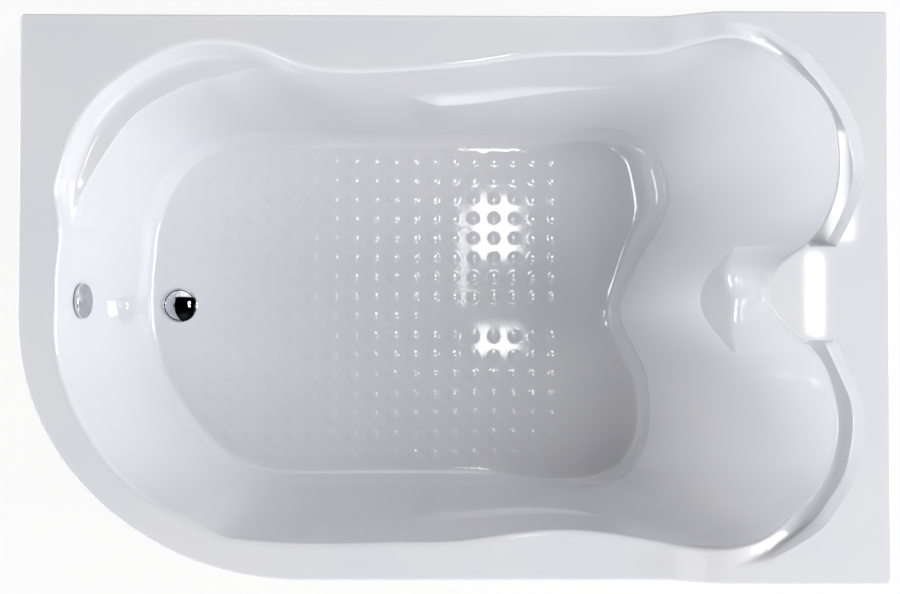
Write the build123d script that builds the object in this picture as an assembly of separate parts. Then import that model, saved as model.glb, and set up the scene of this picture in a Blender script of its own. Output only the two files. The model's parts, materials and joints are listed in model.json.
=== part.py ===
from build123d import *
import math
import os

# Overall sizes, in millimetres
LENGTH = 1700.0
WIDTH = 1110.0
RIM_HEIGHT = 600.0
HEAD_RISE = 50.0
BASIN_DEPTH = 430.0
ACRYLIC = 5.0
LAMINATE = 4.0
SKIRT_DROP = 40.0
SKIRT_WALL = 5.0
SEAT_GAP = 0.3

# Plan outline: one long elliptical corner, three nearly square ones
SWEEP_X = 560.0
SWEEP_Y = 512.0
CORNER_RADIUS = 10.0

# The rim climbs to the head deck between these distances from the head end
RAMP_START = 450.0
RAMP_END = 315.0

# Headrest ledges: the dip from the head deck, and where it begins and levels out
LEDGE_DIP = 38.0
LEDGE_START = 320.0
LEDGE_END = 150.0

# Basin levels below the rim
CORNER_SHELF_DEPTH = 50.0
ARMREST_DEPTH = 150.0
COVE_HEIGHT = 60.0
SHELF_STEP = 7.0
ARMREST_STEP = 15.0
BASIN_FLARE = 1.12

# How far the shelves stand out of the wall
CORNER_SHELF = 52.0
BACK_ARMREST = 34.0
FRONT_ARMREST = 16.0
SPINE_SHELF = 72.0

# Where the shelves begin and end: the corner shelf by its bearing from the tub's middle in degrees,
# the armrests along the length, the spine shelf across the width
CORNER_SHELF_START = 11.0
CORNER_SHELF_END = 56.0
ARMREST_FOOT_END = -95.0
BACK_ARMREST_HEAD_END = 480.0
FRONT_ARMREST_HEAD_END = 400.0
ARMREST_EASE = 80.0
SPINE_HALF_WIDTH = 100.0
COVE_TURNS = (30, 60, 90)

# Helpers that keep the ledges' prisms inside the basin
LOBE_FROM_HEAD = 290.0
LOBE_FROM_SIDE = 325.0
LEDGE_INNER_FROM_HEAD = 190.0
LEDGE_TAIL = (350.0, 80.0)
AIR_MARGIN = 15.0

# Drain and overflow, on the tub's long middle line
DRAIN_FROM_FOOT = 248.0
WASTE_FROM_FRONT = 547.0
OVERFLOW_DEPTH = 110.0
WASTE_HOLE_RADIUS = 25.0
CUTTER_REACH = 40.0
GASKET = 3.0
GASKET_RADIUS = 36.0
FLANGE_RADIUS = 39.0
FLANGE_THICKNESS = 2.5
FLANGE_EDGE = 2.0
THROAT_RADIUS = 22.0
THROAT_WALL = 2.0
THROAT_REACH = 6.0
PLUG_RADIUS = 37.0
PLUG_HEIGHT = 8.0
PLUG_LIP = 3.0
PLUG_EDGE = 1.5
PLUG_WALL = 2.0
SEAL_RADIUS = 24.0
SEAL_SECTION = 1.5
LIFT_ROD_RADIUS = 3.0
LIFT_ROD_LENGTH = 74.0
PLUG_TRAVEL = 10.0
CHAMBER_RADIUS = 28.0
CHAMBER_WALL = 3.0
DRAIN_CHAMBER_HEIGHT = 46.0
GUIDE_HEIGHT = 6.0
RUNNING_CLEARANCE = 0.05

OVERFLOW_PLATE_RADIUS = 32.0
OVERFLOW_PLATE = 2.0
OVERFLOW_SEAT = 0.6
KNOB_RADIUS = 35.5
KNOB_STAND_OFF = 3.0
KNOB_DEPTH = 8.0
KNOB_WALL = 2.5
KNOB_SPINDLE_RADIUS = 5.0
KNOB_SLOT_WIDTH = 16.0
KNOB_SLOT_HEIGHT = 3.5
KNOB_SLOT_TURN = 22.0
OVERFLOW_CHAMBER_RADIUS = 24.0
OVERFLOW_CHAMBER_DEPTH = 34.0
PLATE_HUB_RADIUS = 9.0
PLATE_ARM = 5.0
SCREW_RING_RADIUS = 28.5
SMALL_SCREW_RADIUS = 1.6
SMALL_SCREW_LENGTH = 18.0
SMALL_SCREW_HEAD_RADIUS = 3.0
SMALL_SCREW_HEAD = 1.8

# Overflow pipe and its cable
PIPE_RADIUS = 16.0
PIPE_WALL = 2.0
PIPE_BEND = 60.0
PIPE_DROP = 25.0
PIPE_SOCKET = 15.0
SOCKET_WALL = 2.4
SOCKET_LENGTH = 30.0
NUT_WALL = 3.0
NUT_LENGTH = 20.0
NUT_LIP = 2.0
CABLE_RADIUS = 3.0
CABLE_OFFSET = 26.0
CABLE_BEND = 120.0
CABLE_GLAND_RADIUS = 5.5
CABLE_GLAND_LENGTH = 10.0
CLIP_WALL = 2.0
CLIP_HEIGHT = 10.0
CLIP_DROPS = (90.0, 150.0)

# Trap under the drain
TRAP_RADIUS = 45.0
TRAP_WALL = 3.0
TRAP_HEIGHT = 62.0
TRAP_NECK = 18.0
OUTLET_RADIUS = 20.0
OUTLET_WALL = 2.0
OUTLET_DROP = 25.0
OUTLET_LENGTH = 170.0
OUTLET_SOCKET = 36.0
OUTLET_INSERT = 26.0
OUTLET_SPIGOT_STEP = 1.0
TRAP_CAP_RADIUS = 34.0
TRAP_CAP_THICKNESS = 4.0
TRAP_CAP_PLUG = 5.0
TRAP_CAP_HOLE = 28.0

# Base board
BOARD_THICKNESS = 16.0
BOARD_FOOT_END = 310.0
BOARD_HEAD_END = 520.0
BOARD_FROM_SIDE = 265.0
BOARD_CORNER = 60.0

# Underframe of square tube, with rim battens on its posts
TUBE = 25.0
TUBE_WALL = 1.5
RAIL_FROM_MIDDLE = 200.0
FRAME_INSET = 20.0
SWEEP_POST_INSET = 27.0
FOOT_MEMBER_FROM_FOOT = 150.0
MIDDLE_MEMBER_FROM_FOOT = 790.0
HEAD_MEMBER_FROM_HEAD = 150.0
BATTEN_WIDTH = 25.0
BATTEN_THICKNESS = 18.0
BATTEN_END_GAP = 10.0
RIM_PLATE_LENGTH = 70.0
RIM_PLATE_THICKNESS = 3.0
WOOD_SCREW_RADIUS = 2.0
WOOD_SCREW_GRIP = 12.0
WOOD_SCREW_HEAD_RADIUS = 4.0
WOOD_SCREW_HEAD = 2.5
RIM_SCREW_PITCH = 50.0
BOARD_SCREW_FROM_END = 70.0
BOARD_SCREW_FROM_MEMBER = 90.0

# Levelling feet
ROD_RADIUS = 6.0
ROD_HOLE_CLEARANCE = 0.5
ROD_FROM_POST = 60.0
ROD_TOP = 160.0
ROD_PITCH = 1.75
NUT_ACROSS_FLATS = 19.0
NUT_HEIGHT = 10.0
PAD_RADIUS = 24.0
PAD_EDGE = 6.0
PAD_HEIGHT = 20.0
PAD_NECK_RADIUS = 11.0
PAD_SOCKET_FLOOR = 8.0

# Basin stations, walked round from the foot end by way of the back. Each is written from the end and
# the long side that it is nearest to: the rim's distance from the end and from the side, the same two
# for the foot of the wall, and the width of the cove that leads on to the floor.
FOOT_BACK = [
    (78, 505, 161, 502, 34),
    (82, 467, 165, 464, 34),
    (84, 430, 167, 427, 34),
    (75, 350, 182, 355, 32),
    (85, 297, 205, 300, 32),
    (113, 222, 250, 243, 32),
    (164, 154, 295, 210, 32),
    (240, 97, 345, 191, 32),
    (311, 65, 400, 183, 32),
    (393, 56, 460, 180, 32),
    (472, 70, 520, 180, 32),
    (551, 101, 580, 180, 32),
    (675, 114, 680, 179, 32),
    (785, 108, 790, 178, 32),
]
HEAD_BACK = [
    (810, 99, 810, 177, 30),
    (695, 82, 700, 175, 30),
    (557, 77, 595, 172, 30),
    (429, 71, 505, 171, 32),
    (360, 58, 455, 176, 45),
    (293, 53, 420, 189, 60),
    (218, 79, 393, 212, 72),
    (161, 121, 377, 247, 78),
    (112, 177, 367, 283, 80),
    (92, 250, 362, 320, 78),
    (96, 347, 370, 360, 68),
    (125, 416, 390, 400, 55),
    (167, 460, 422, 450, 42),
    (217, 497, 452, 510, 30),
    (237, 550, 472, 577, 25),
]
HEAD_FRONT = [
    (212, 510, 452, 475, 28),
    (168, 471, 432, 435, 30),
    (127, 429, 417, 403, 30),
    (103, 368, 409, 358, 26),
    (94, 310, 407, 307, 22),
    (104, 241, 416, 245, 24),
    (124, 193, 433, 205, 30),
    (185, 126, 465, 171, 36),
    (238, 87, 500, 155, 40),
    (315, 67, 538, 148, 42),
    (380, 67, 575, 146, 42),
    (447, 75, 610, 146, 42),
    (536, 90, 645, 146, 42),
    (621, 97, 685, 146, 42),
    (704, 93, 735, 146, 42),
    (846, 75, 850, 146, 42),
]
FOOT_FRONT = [
    (751, 73, 755, 146, 42),
    (649, 71, 660, 146, 40),
    (530, 72, 550, 146, 38),
    (467, 76, 495, 148, 36),
    (391, 90, 435, 156, 34),
    (340, 117, 390, 171, 34),
    (261, 158, 330, 205, 34),
    (182, 228, 268, 265, 34),
    (129, 310, 218, 335, 34),
    (95, 386, 185, 400, 34),
    (78, 460, 167, 470, 34),
    (77, 550, 160, 547, 34),
]

# Size of the tub that the stations are drawn on, and how far in from its edges they keep their distance
DRAWN_LENGTH = 1700.0
DRAWN_WIDTH = 1110.0
END_REACH = 400.0
SIDE_REACH = 300.0

# Outer edge of each headrest ledge, from the head end and the nearest long side
BACK_LEDGE = [(318, 16), (250, 31), (192, 60), (153, 86), (104, 144), (66, 213), (47, 291), (53, 349),
              (77, 411), (104, 460)]
FRONT_LEDGE = [(106, 470), (75, 402), (56, 354), (50, 305), (57, 248), (71, 199), (100, 151), (139, 103),
               (216, 55), (265, 36), (313, 25)]


def spread(distance, reach, drawn_half, half):
    """Distance from an edge: as drawn up to the reach, and beyond it its share of the way to the middle."""
    if distance <= reach:
        return distance
    return reach + (distance - reach) * (half - reach) / (drawn_half - reach)


def place(from_end, from_side, end, side):
    """Plan point at the given distances from one end (+1 head, -1 foot) and side (+1 back, -1 front)."""
    along = LENGTH / 2 - spread(from_end, END_REACH, DRAWN_LENGTH / 2, LENGTH / 2)
    across = WIDTH / 2 - spread(from_side, SIDE_REACH, DRAWN_WIDTH / 2, WIDTH / 2)
    return end * along, side * across


def stations():
    """Rim point, wall foot point and cove width of every station, in order round the basin."""
    found = []
    quarters = ((FOOT_BACK, -1, 1), (HEAD_BACK, 1, 1), (HEAD_FRONT, 1, -1), (FOOT_FRONT, -1, -1))
    for rows, end, side in quarters:
        for rim_x, rim_y, foot_x, foot_y, cove in rows:
            found.append((place(rim_x, rim_y, end, side), place(foot_x, foot_y, end, side), cove))
    return found


def swell(value, start, end):
    """Smooth rise and fall between start and end, 1 in the middle."""
    share = (value - start) / (end - start)
    return math.sin(math.pi * share) ** 2 if 0 < share < 1 else 0.0


def plateau(value, start, end, ease):
    """1 between start and end, with smooth flanks of the given length inside."""
    rise = min(max((value - start) / ease, 0.0), 1.0)
    fall = min(max((end - value) / ease, 0.0), 1.0)
    return (1 - math.cos(math.pi * min(rise, fall))) / 2


def wall_run(rim, foot, depth):
    """How far in from the rim a station's wall stands at a depth, with its shelves."""
    wall_height = BASIN_DEPTH - COVE_HEIGHT
    reach = math.dist(rim, foot)
    run = reach * max(depth / wall_height, 0.0) ** BASIN_FLARE
    below_corner = CORNER_SHELF_DEPTH + SHELF_STEP
    if depth >= below_corner:
        bearing = math.degrees(math.atan2(rim[1], -rim[0]))
        shelf = CORNER_SHELF * swell(bearing, CORNER_SHELF_START, CORNER_SHELF_END)
        run += shelf * (wall_height - depth) / (wall_height - below_corner)
    if rim[1] > 0:
        armrest = BACK_ARMREST * plateau(rim[0], ARMREST_FOOT_END, BACK_ARMREST_HEAD_END, ARMREST_EASE)
    else:
        armrest = FRONT_ARMREST * plateau(rim[0], ARMREST_FOOT_END, FRONT_ARMREST_HEAD_END, ARMREST_EASE)
    spine = SPINE_SHELF * max(1 - abs(rim[1]) / SPINE_HALF_WIDTH, 0.0) if rim[0] > 0 else 0.0
    if depth <= ARMREST_DEPTH:
        run -= (armrest / 2 + spine) * max(depth, 0.0) / ARMREST_DEPTH
    else:
        below_armrest = ARMREST_DEPTH + ARMREST_STEP
        run += armrest / 2 * (wall_height - depth) / (wall_height - below_armrest)
    return run


def grown(points, amount):
    """Closed outline of points, walked clockwise, moved outwards by an amount."""
    moved = []
    for index, (x, y) in enumerate(points):
        before = points[index - 1]
        after = points[(index + 1) % len(points)]
        share = amount / math.dist(before, after)
        moved.append((x - share * (after[1] - before[1]), y + share * (after[0] - before[0])))
    return moved


def basin_level(run_of, drop, grow, marks):
    """Closed wire of the basin at one level: run_of gives each station's distance in from the rim."""
    points = []
    for rim, foot, cove in stations():
        share = run_of(rim, foot, cove) / math.dist(rim, foot)
        points.append((rim[0] + share * (foot[0] - rim[0]), rim[1] + share * (foot[1] - rim[1])))
    if grow:
        points = grown(points, grow)
    height = RIM_HEIGHT - drop - (grow if drop >= 0 else 0.0)
    edge = Edge.make_spline([(x, y, height) for x, y in points], periodic=True, parameters=marks)
    return Wire([edge])


def basin_air(grow=0.0):
    """Space inside the basin, up past the head deck, grown outwards and down by a wall's thickness."""
    rims = [station[0] for station in stations()]
    marks = [0.0]
    for index, rim in enumerate(rims):
        marks.append(marks[-1] + math.dist(rim, rims[(index + 1) % len(rims)]))
    wall_height = BASIN_DEPTH - COVE_HEIGHT
    depths = [-HEAD_RISE - AIR_MARGIN, 0.0, CORNER_SHELF_DEPTH, CORNER_SHELF_DEPTH + SHELF_STEP]
    depths += [ARMREST_DEPTH, ARMREST_DEPTH + ARMREST_STEP, wall_height]
    wires = []
    for depth in depths:
        wires.append(basin_level(lambda rim, foot, cove: wall_run(rim, foot, depth), depth, grow, marks))
    for turn in COVE_TURNS:
        angle = math.radians(turn)
        wires.append(basin_level(
            lambda rim, foot, cove: math.dist(rim, foot) + cove * (1 - math.cos(angle)),
            wall_height + COVE_HEIGHT * math.sin(angle), grow, marks))
    return Solid.make_loft(wires, ruled=True)


def above_profile(points, grow):
    """Space above a height profile drawn along the tub's length, right across its width."""
    (x1, z1), (x2, z2) = points
    climb = Spline((x1, z1 - grow), (x2, z2 - grow), tangents=((1, 0), (1, 0)))
    left, right, top = -LENGTH, LENGTH, HEAD_RISE + 4 * AIR_MARGIN
    border = Polyline((x2, z2 - grow), (right, z2 - grow), (right, top), (left, top), (left, z1 - grow),
                      (x1, z1 - grow))
    face = Plane.XZ * make_face([climb, border])
    return Pos(0, 0, RIM_HEIGHT) * extrude(face, WIDTH, both=True)


def deck_air(grow=0.0):
    """Space above the rim and the head deck."""
    return above_profile(((LENGTH / 2 - RAMP_START, 0), (LENGTH / 2 - RAMP_END, HEAD_RISE)), grow)


def ledge_air(rows, side, grow=0.0):
    """Space above one headrest ledge, down to its dipping surface."""
    centre = place(LOBE_FROM_HEAD, LOBE_FROM_SIDE, 1, side)
    arc = []
    for from_head, from_side in rows:
        x, y = place(from_head, from_side, 1, side)
        reach = math.dist(centre, (x, y))
        arc.append((x + grow * (x - centre[0]) / reach, y + grow * (y - centre[1]) / reach))
    if side < 0:
        arc.reverse()
    inner = (LENGTH / 2 - LEDGE_INNER_FROM_HEAD, arc[-1][1])
    tail = place(*LEDGE_TAIL, 1, side)
    face = make_face([Spline(*arc), Polyline(arc[-1], inner, centre, tail, arc[0])])
    prism = Pos(0, 0, RIM_HEIGHT - HEAD_RISE) * extrude(face, 4 * HEAD_RISE)
    start = (LENGTH / 2 - LEDGE_START, HEAD_RISE)
    end = (LENGTH / 2 - LEDGE_END, HEAD_RISE - LEDGE_DIP)
    dip = above_profile((start, end), grow)
    return prism & dip


def outline(inset=0.0):
    """Plan of the tub: three nearly square corners and one long elliptical corner."""
    left, right = -LENGTH / 2 + inset, LENGTH / 2 - inset
    front, back = -WIDTH / 2 + inset, WIDTH / 2 - inset
    sweep_x, sweep_y = SWEEP_X - inset, SWEEP_Y - inset
    middle = (left + sweep_x, front + sweep_y)
    sides = Polyline((middle[0], front), (right, front), (right, back), (left, back), (left, middle[1]))
    sweep = EllipticalCenterArc(middle, sweep_x, sweep_y, start_angle=180, arc_size=90)
    face = make_face([sides, sweep])
    corners = [v for v in face.vertices() if v.X > 0 or v.Y > middle[1] + 1]
    return fillet(corners, max(CORNER_RADIUS - inset, 2.0))


def slab(face, low, high):
    """Upright prism of a plan face between two heights."""
    return Pos(0, 0, low) * extrude(face, high - low)


def tub_air(grow):
    """All the space above the tub's sheet, grown by a thickness."""
    air = basin_air(grow) + deck_air(grow)
    air += ledge_air(BACK_LEDGE, 1, grow)
    air += ledge_air(FRONT_LEDGE, -1, grow)
    return air


def cylinder(radius, low, high):
    """Upright cylinder between two heights."""
    return Pos(0, 0, low) * Cylinder(radius, high - low, align=(Align.CENTER, Align.CENTER, Align.MIN))


def ring_of(outer, inner, low, high):
    """Upright ring between two heights."""
    return cylinder(outer, low, high) - cylinder(inner, low - 1, high + 1)


def bar(x_span, y_span, z_span):
    """Straight block between the given limits."""
    (x1, x2), (y1, y2), (z1, z2) = x_span, y_span, z_span
    block = Box(x2 - x1, y2 - y1, z2 - z1)
    return Pos((x1 + x2) / 2, (y1 + y2) / 2, (z1 + z2) / 2) * block


def waste_y():
    """The line across the tub on which drain and overflow lie."""
    return WASTE_FROM_FRONT - WIDTH / 2


def drain_place():
    """Location of the drain, on the basin floor."""
    return Pos(DRAIN_FROM_FOOT - LENGTH / 2, waste_y(), RIM_HEIGHT - BASIN_DEPTH)


def overflow_plane():
    """Plane of the overflow on the foot wall, facing into the basin."""
    rim, foot = stations()[-1][:2]
    run = wall_run(rim, foot, OVERFLOW_DEPTH)
    slope = wall_run(rim, foot, OVERFLOW_DEPTH + 1) - run
    tilt = math.atan(slope)
    origin = (rim[0] + run + OVERFLOW_SEAT, waste_y(), RIM_HEIGHT - OVERFLOW_DEPTH)
    return Plane(origin=origin, x_dir=(0, 1, 0), z_dir=(math.cos(tilt), 0, math.sin(tilt)))


def sheet_along_overflow():
    """Thickness of acrylic and laminate along the overflow's axis, with the seat's allowance each side."""
    axis = overflow_plane().z_dir
    return (ACRYLIC + LAMINATE) * (axis.X + axis.Z) + 2 * OVERFLOW_SEAT


def waste_holes():
    """Cutters for the drain hole, the overflow hole and the overflow screws."""
    hole = cylinder(WASTE_HOLE_RADIUS, -CUTTER_REACH, CUTTER_REACH)
    overflow = hole
    for spot in screw_ring():
        overflow += spot * cylinder(SMALL_SCREW_RADIUS + RUNNING_CLEARANCE, -CUTTER_REACH, CUTTER_REACH)
    return drain_place() * hole + overflow_plane() * overflow


def acrylic_shell():
    """The formed sheet: basin, rim, head deck, ledges and the turned-down skirt."""
    air = tub_air(0)
    plan = outline()
    low = RIM_HEIGHT - BASIN_DEPTH - ACRYLIC - 1
    sheet = (slab(plan, low, RIM_HEIGHT + HEAD_RISE + 1) & tub_air(ACRYLIC)) - air
    skirt = slab(plan, RIM_HEIGHT - SKIRT_DROP, RIM_HEIGHT + HEAD_RISE)
    skirt -= slab(outline(SKIRT_WALL), RIM_HEIGHT - SKIRT_DROP - 1, RIM_HEIGHT + HEAD_RISE + 1)
    return sheet + (skirt - air) - waste_holes()


def laminate_shell():
    """Glass-fibre layer on the back of the basin."""
    return basin_air(ACRYLIC + LAMINATE) - tub_air(ACRYLIC) - waste_holes()


def under_floor():
    """Height of the laminate's underside below the basin floor."""
    return RIM_HEIGHT - BASIN_DEPTH - ACRYLIC - LAMINATE


def frame_levels():
    """Heights of the board's underside, the rails' underside and the cross members' underside."""
    board = under_floor() - BOARD_THICKNESS
    return board, board - TUBE, board - 2 * TUBE


def board_ends():
    """Where the base board begins and ends along the tub."""
    return BOARD_FOOT_END - LENGTH / 2, LENGTH / 2 - BOARD_HEAD_END


def board_screw_places():
    """Plan points of the screws that hold the board on the rails, clear of the middle cross member."""
    foot_end, head_end = board_ends()
    member = MIDDLE_MEMBER_FROM_FOOT - LENGTH / 2
    stations_along = (foot_end + BOARD_SCREW_FROM_END, member - BOARD_SCREW_FROM_MEMBER,
                      member + BOARD_SCREW_FROM_MEMBER, head_end - BOARD_SCREW_FROM_END)
    return [(x, y) for x in stations_along for y in (-RAIL_FROM_MIDDLE, RAIL_FROM_MIDDLE)]


def wood_screw(grip):
    """Wood screw pointing up from the work plane, with its round head below it."""
    return cylinder(WOOD_SCREW_RADIUS, 0, grip) + cylinder(WOOD_SCREW_HEAD_RADIUS, -WOOD_SCREW_HEAD, 0)


def base_board():
    """Wooden board bonded under the basin floor."""
    left, right = board_ends()
    half = WIDTH / 2 - BOARD_FROM_SIDE
    face = Pos((left + right) / 2, 0) * RectangleRounded(right - left, 2 * half, BOARD_CORNER)
    low = frame_levels()[0]
    board = slab(face, low, under_floor())
    for x, y in board_screw_places():
        hole = cylinder(WOOD_SCREW_RADIUS + RUNNING_CLEARANCE, -1, WOOD_SCREW_GRIP + SEAT_GAP)
        board -= Pos(x, y, low) * hole
    return board


def square_tube(start, end):
    """Square steel tube with its middle line between two points along one axis."""
    half = TUBE / 2
    spans = []
    bore = []
    for low, high in zip(start, end):
        along = high - low > TUBE
        spans.append((low, high) if along else (low - half, high + half))
        bore.append((low - 1, high + 1) if along else (low - half + TUBE_WALL, high + half - TUBE_WALL))
    return bar(*spans) - bar(*bore)


def members():
    """Name, distance along the tub and the two post positions across it, for each cross member."""
    side = WIDTH / 2 - FRAME_INSET
    foot_x = FOOT_MEMBER_FROM_FOOT - LENGTH / 2
    sweep_middle = (SWEEP_X - LENGTH / 2, SWEEP_Y - WIDTH / 2)
    share = (foot_x - sweep_middle[0]) / (SWEEP_X - SWEEP_POST_INSET)
    sweep_side = sweep_middle[1] - (SWEEP_Y - SWEEP_POST_INSET) * math.sqrt(1 - share ** 2)
    return [
        ("foot", foot_x, sweep_side, side),
        ("middle", MIDDLE_MEMBER_FROM_FOOT - LENGTH / 2, -side, side),
        ("head", LENGTH / 2 - HEAD_MEMBER_FROM_HEAD, -side, side),
    ]


def foot_places():
    """Plan points of the six levelling feet."""
    places = []
    for _, x, front, back in members():
        places.append((x, front + ROD_FROM_POST))
        places.append((x, back - ROD_FROM_POST))
    return places


def rod_holes():
    """Cutters for the levelling rods in the cross members."""
    cutters = []
    for x, y in foot_places():
        cutters.append(Pos(x, y, 0) * cylinder(ROD_RADIUS + ROD_HOLE_CLEARANCE, 0, RIM_HEIGHT / 2))
    return cutters


def cross_members():
    """Cross members, drilled for the rods, by node name."""
    cross = frame_levels()[2]
    made = {}
    for name, x, front, back in members():
        tube = square_tube((x, front - TUBE / 2, cross + TUBE / 2), (x, back + TUBE / 2, cross + TUBE / 2))
        for cutter in rod_holes():
            tube -= cutter
        made[name + "_cross_member"] = tube
    return made


def rails():
    """The two long rails, drilled for the board screws, by node name."""
    board, rail, _ = frame_levels()
    ends = [member[1] for member in members()]
    made = {}
    level = rail + TUBE / 2
    for name, y in (("back_rail", RAIL_FROM_MIDDLE), ("front_rail", -RAIL_FROM_MIDDLE)):
        tube = square_tube((ends[0] - TUBE / 2, y, level), (ends[-1] + TUBE / 2, y, level))
        for x, screw_y in board_screw_places():
            tube -= Pos(x, screw_y, 0) * cylinder(WOOD_SCREW_RADIUS + RUNNING_CLEARANCE, rail - 1, board + 1)
        made[name] = tube
    return made


def rim_underside(member_name):
    """Height of the sheet's underside over a cross member's posts."""
    return RIM_HEIGHT - ACRYLIC + (HEAD_RISE if member_name == "head" else 0.0)


def posts():
    """Upright posts from the cross members to the rim plates, by node name."""
    cross_top = frame_levels()[1]
    made = {}
    for name, x, front, back in members():
        top = rim_underside(name) - BATTEN_THICKNESS - RIM_PLATE_THICKNESS
        for side, y in (("front", front), ("back", back)):
            made[name + "_" + side + "_post"] = square_tube((x, y, cross_top), (x, y, top))
    return made


def rim_screw_places():
    """Plan point and height of each screw that holds a rim plate to its batten."""
    places = []
    for name, x, front, back in members():
        low = rim_underside(name) - BATTEN_THICKNESS - RIM_PLATE_THICKNESS
        for y in (front, back):
            turn = plate_turn(x, y)
            for shift in (-RIM_SCREW_PITCH / 2, RIM_SCREW_PITCH / 2):
                places.append((x + shift * math.cos(turn), y + shift * math.sin(turn), low))
    return places


def plate_turn(x, y):
    """Turn of a rim plate in plan: along the tub, or along the long corner where it stands there."""
    middle = (SWEEP_X - LENGTH / 2, SWEEP_Y - WIDTH / 2)
    if x > middle[0] or y > middle[1]:
        return 0.0
    across = (SWEEP_Y - SWEEP_POST_INSET) / (SWEEP_X - SWEEP_POST_INSET)
    return math.atan(-(x - middle[0]) / (y - middle[1]) * across ** 2)


def drilled(batten):
    """A batten with the rim screws' holes."""
    for x, y, low in rim_screw_places():
        depth = RIM_PLATE_THICKNESS + WOOD_SCREW_GRIP + SEAT_GAP
        batten -= Pos(x, y, low) * cylinder(WOOD_SCREW_RADIUS + RUNNING_CLEARANCE, 0, depth)
    return batten


def rim_plates():
    """Small steel plates on the posts, in one group."""
    plates = []
    for name, x, front, back in members():
        low = rim_underside(name) - BATTEN_THICKNESS - RIM_PLATE_THICKNESS
        for y in (front, back):
            turn = math.degrees(plate_turn(x, y))
            face = Pos(x, y) * Rot(0, 0, turn) * Rectangle(RIM_PLATE_LENGTH, BATTEN_WIDTH)
            plates.append(drilled(slab(face, low, low + RIM_PLATE_THICKNESS)))
    return Compound(children=plates)


def batten_screws():
    """Screws from the rim plates into the battens, in one group."""
    screws = []
    for x, y, low in rim_screw_places():
        screws.append(Pos(x, y, low) * wood_screw(RIM_PLATE_THICKNESS + WOOD_SCREW_GRIP))
    return Compound(children=screws)


def board_screws():
    """Screws from the rails into the board, in one group."""
    rail = frame_levels()[1]
    screws = []
    for x, y in board_screw_places():
        screws.append(Pos(x, y, rail) * wood_screw(TUBE + WOOD_SCREW_GRIP))
    return Compound(children=screws)


def battens():
    """Wooden battens bonded under the rim and the head deck, by node name."""
    side = WIDTH / 2 - FRAME_INSET
    half = BATTEN_WIDTH / 2
    rim = RIM_HEIGHT - ACRYLIC
    low = (rim - BATTEN_THICKNESS, rim)
    high = (low[0] + HEAD_RISE, low[1] + HEAD_RISE)
    ramp = LENGTH / 2 - RAMP_START - BATTEN_END_GAP
    foot = FRAME_INSET - LENGTH / 2
    head = LENGTH / 2 - FRAME_INSET
    sweep_x = SWEEP_X - LENGTH / 2
    sweep_y = SWEEP_Y - WIDTH / 2
    clear = half + BATTEN_END_GAP
    ledge_end = LENGTH / 2 - HEAD_MEMBER_FROM_HEAD - RIM_PLATE_LENGTH / 2 - BATTEN_END_GAP / 2
    ring = slab(outline(FRAME_INSET - half) - outline(FRAME_INSET + half), *low)
    corner = bar((-LENGTH, sweep_x), (-WIDTH, sweep_y), low) & ring
    made = {
        "back_batten": bar((foot + clear, ramp), (side - half, side + half), low),
        "front_batten": bar((sweep_x + SEAT_GAP, ramp), (-side - half, -side + half), low),
        "foot_batten": bar((foot - half, foot + half), (sweep_y + SEAT_GAP, side + half), low),
        "head_batten": bar((head - half, head + half), (-side - half, side + half), high),
        "back_head_batten": bar((ledge_end, head - half - SEAT_GAP), (side - half, side + half), high),
        "front_head_batten": bar((ledge_end, head - half - SEAT_GAP), (-side - half, -side + half), high),
        "corner_batten": corner,
    }
    return {name: drilled(batten) for name, batten in made.items()}


def levelling_nuts():
    """Nuts above and below the cross members, in one group."""
    _, rail, cross = frame_levels()
    face = RegularPolygon(NUT_ACROSS_FLATS / 2, 6, major_radius=False)
    nuts = []
    for x, y in foot_places():
        for low in (rail, cross - NUT_HEIGHT):
            high = low + NUT_HEIGHT
            nut = slab(face, low, high) - cylinder(ROD_RADIUS + RUNNING_CLEARANCE, low - 1, high + 1)
            nuts.append(Pos(x, y, 0) * nut)
    return Compound(children=nuts)


def foot_pad(x, y):
    """Moulded foot pad with the socket that the rod turns in."""
    profile = Polyline((0, 0), (PAD_RADIUS, 0), (PAD_RADIUS, PAD_EDGE), (PAD_NECK_RADIUS, PAD_HEIGHT),
                       (0, PAD_HEIGHT), (0, 0))
    pad = revolve(Plane.XZ * make_face(profile), Axis.Z)
    pad -= cylinder(ROD_RADIUS + RUNNING_CLEARANCE, PAD_SOCKET_FLOOR, PAD_HEIGHT + 1)
    return Pos(x, y, 0) * pad


def threaded_rod(x, y):
    """Levelling rod, standing in its pad."""
    return Pos(x, y, 0) * cylinder(ROD_RADIUS, PAD_SOCKET_FLOOR + SEAT_GAP, ROD_TOP)


def drain_flange():
    """Flange on the basin floor with its throat through the hole."""
    bore = THROAT_RADIUS - THROAT_WALL
    throat = ring_of(THROAT_RADIUS, bore, -(ACRYLIC + LAMINATE + GASKET + THROAT_REACH), 0)
    flange = ring_of(FLANGE_RADIUS, bore, 0, FLANGE_THICKNESS)
    rim_edge = flange.edges().filter_by(GeomType.CIRCLE).group_by(Axis.Z)[-1].sort_by(SortBy.RADIUS)[-1]
    return drain_place() * (fillet(rim_edge, FLANGE_EDGE) + throat)


def drain_gasket():
    """Rubber ring between the laminate and the drain body."""
    top = -ACRYLIC - LAMINATE
    return drain_place() * ring_of(GASKET_RADIUS, WASTE_HOLE_RADIUS, top - GASKET, top)


def pipe_height():
    """Depth of the overflow pipe's lower run below the basin floor."""
    return -(ACRYLIC + LAMINATE + GASKET + CHAMBER_WALL + PIPE_RADIUS + SOCKET_WALL + SEAT_GAP)


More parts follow.
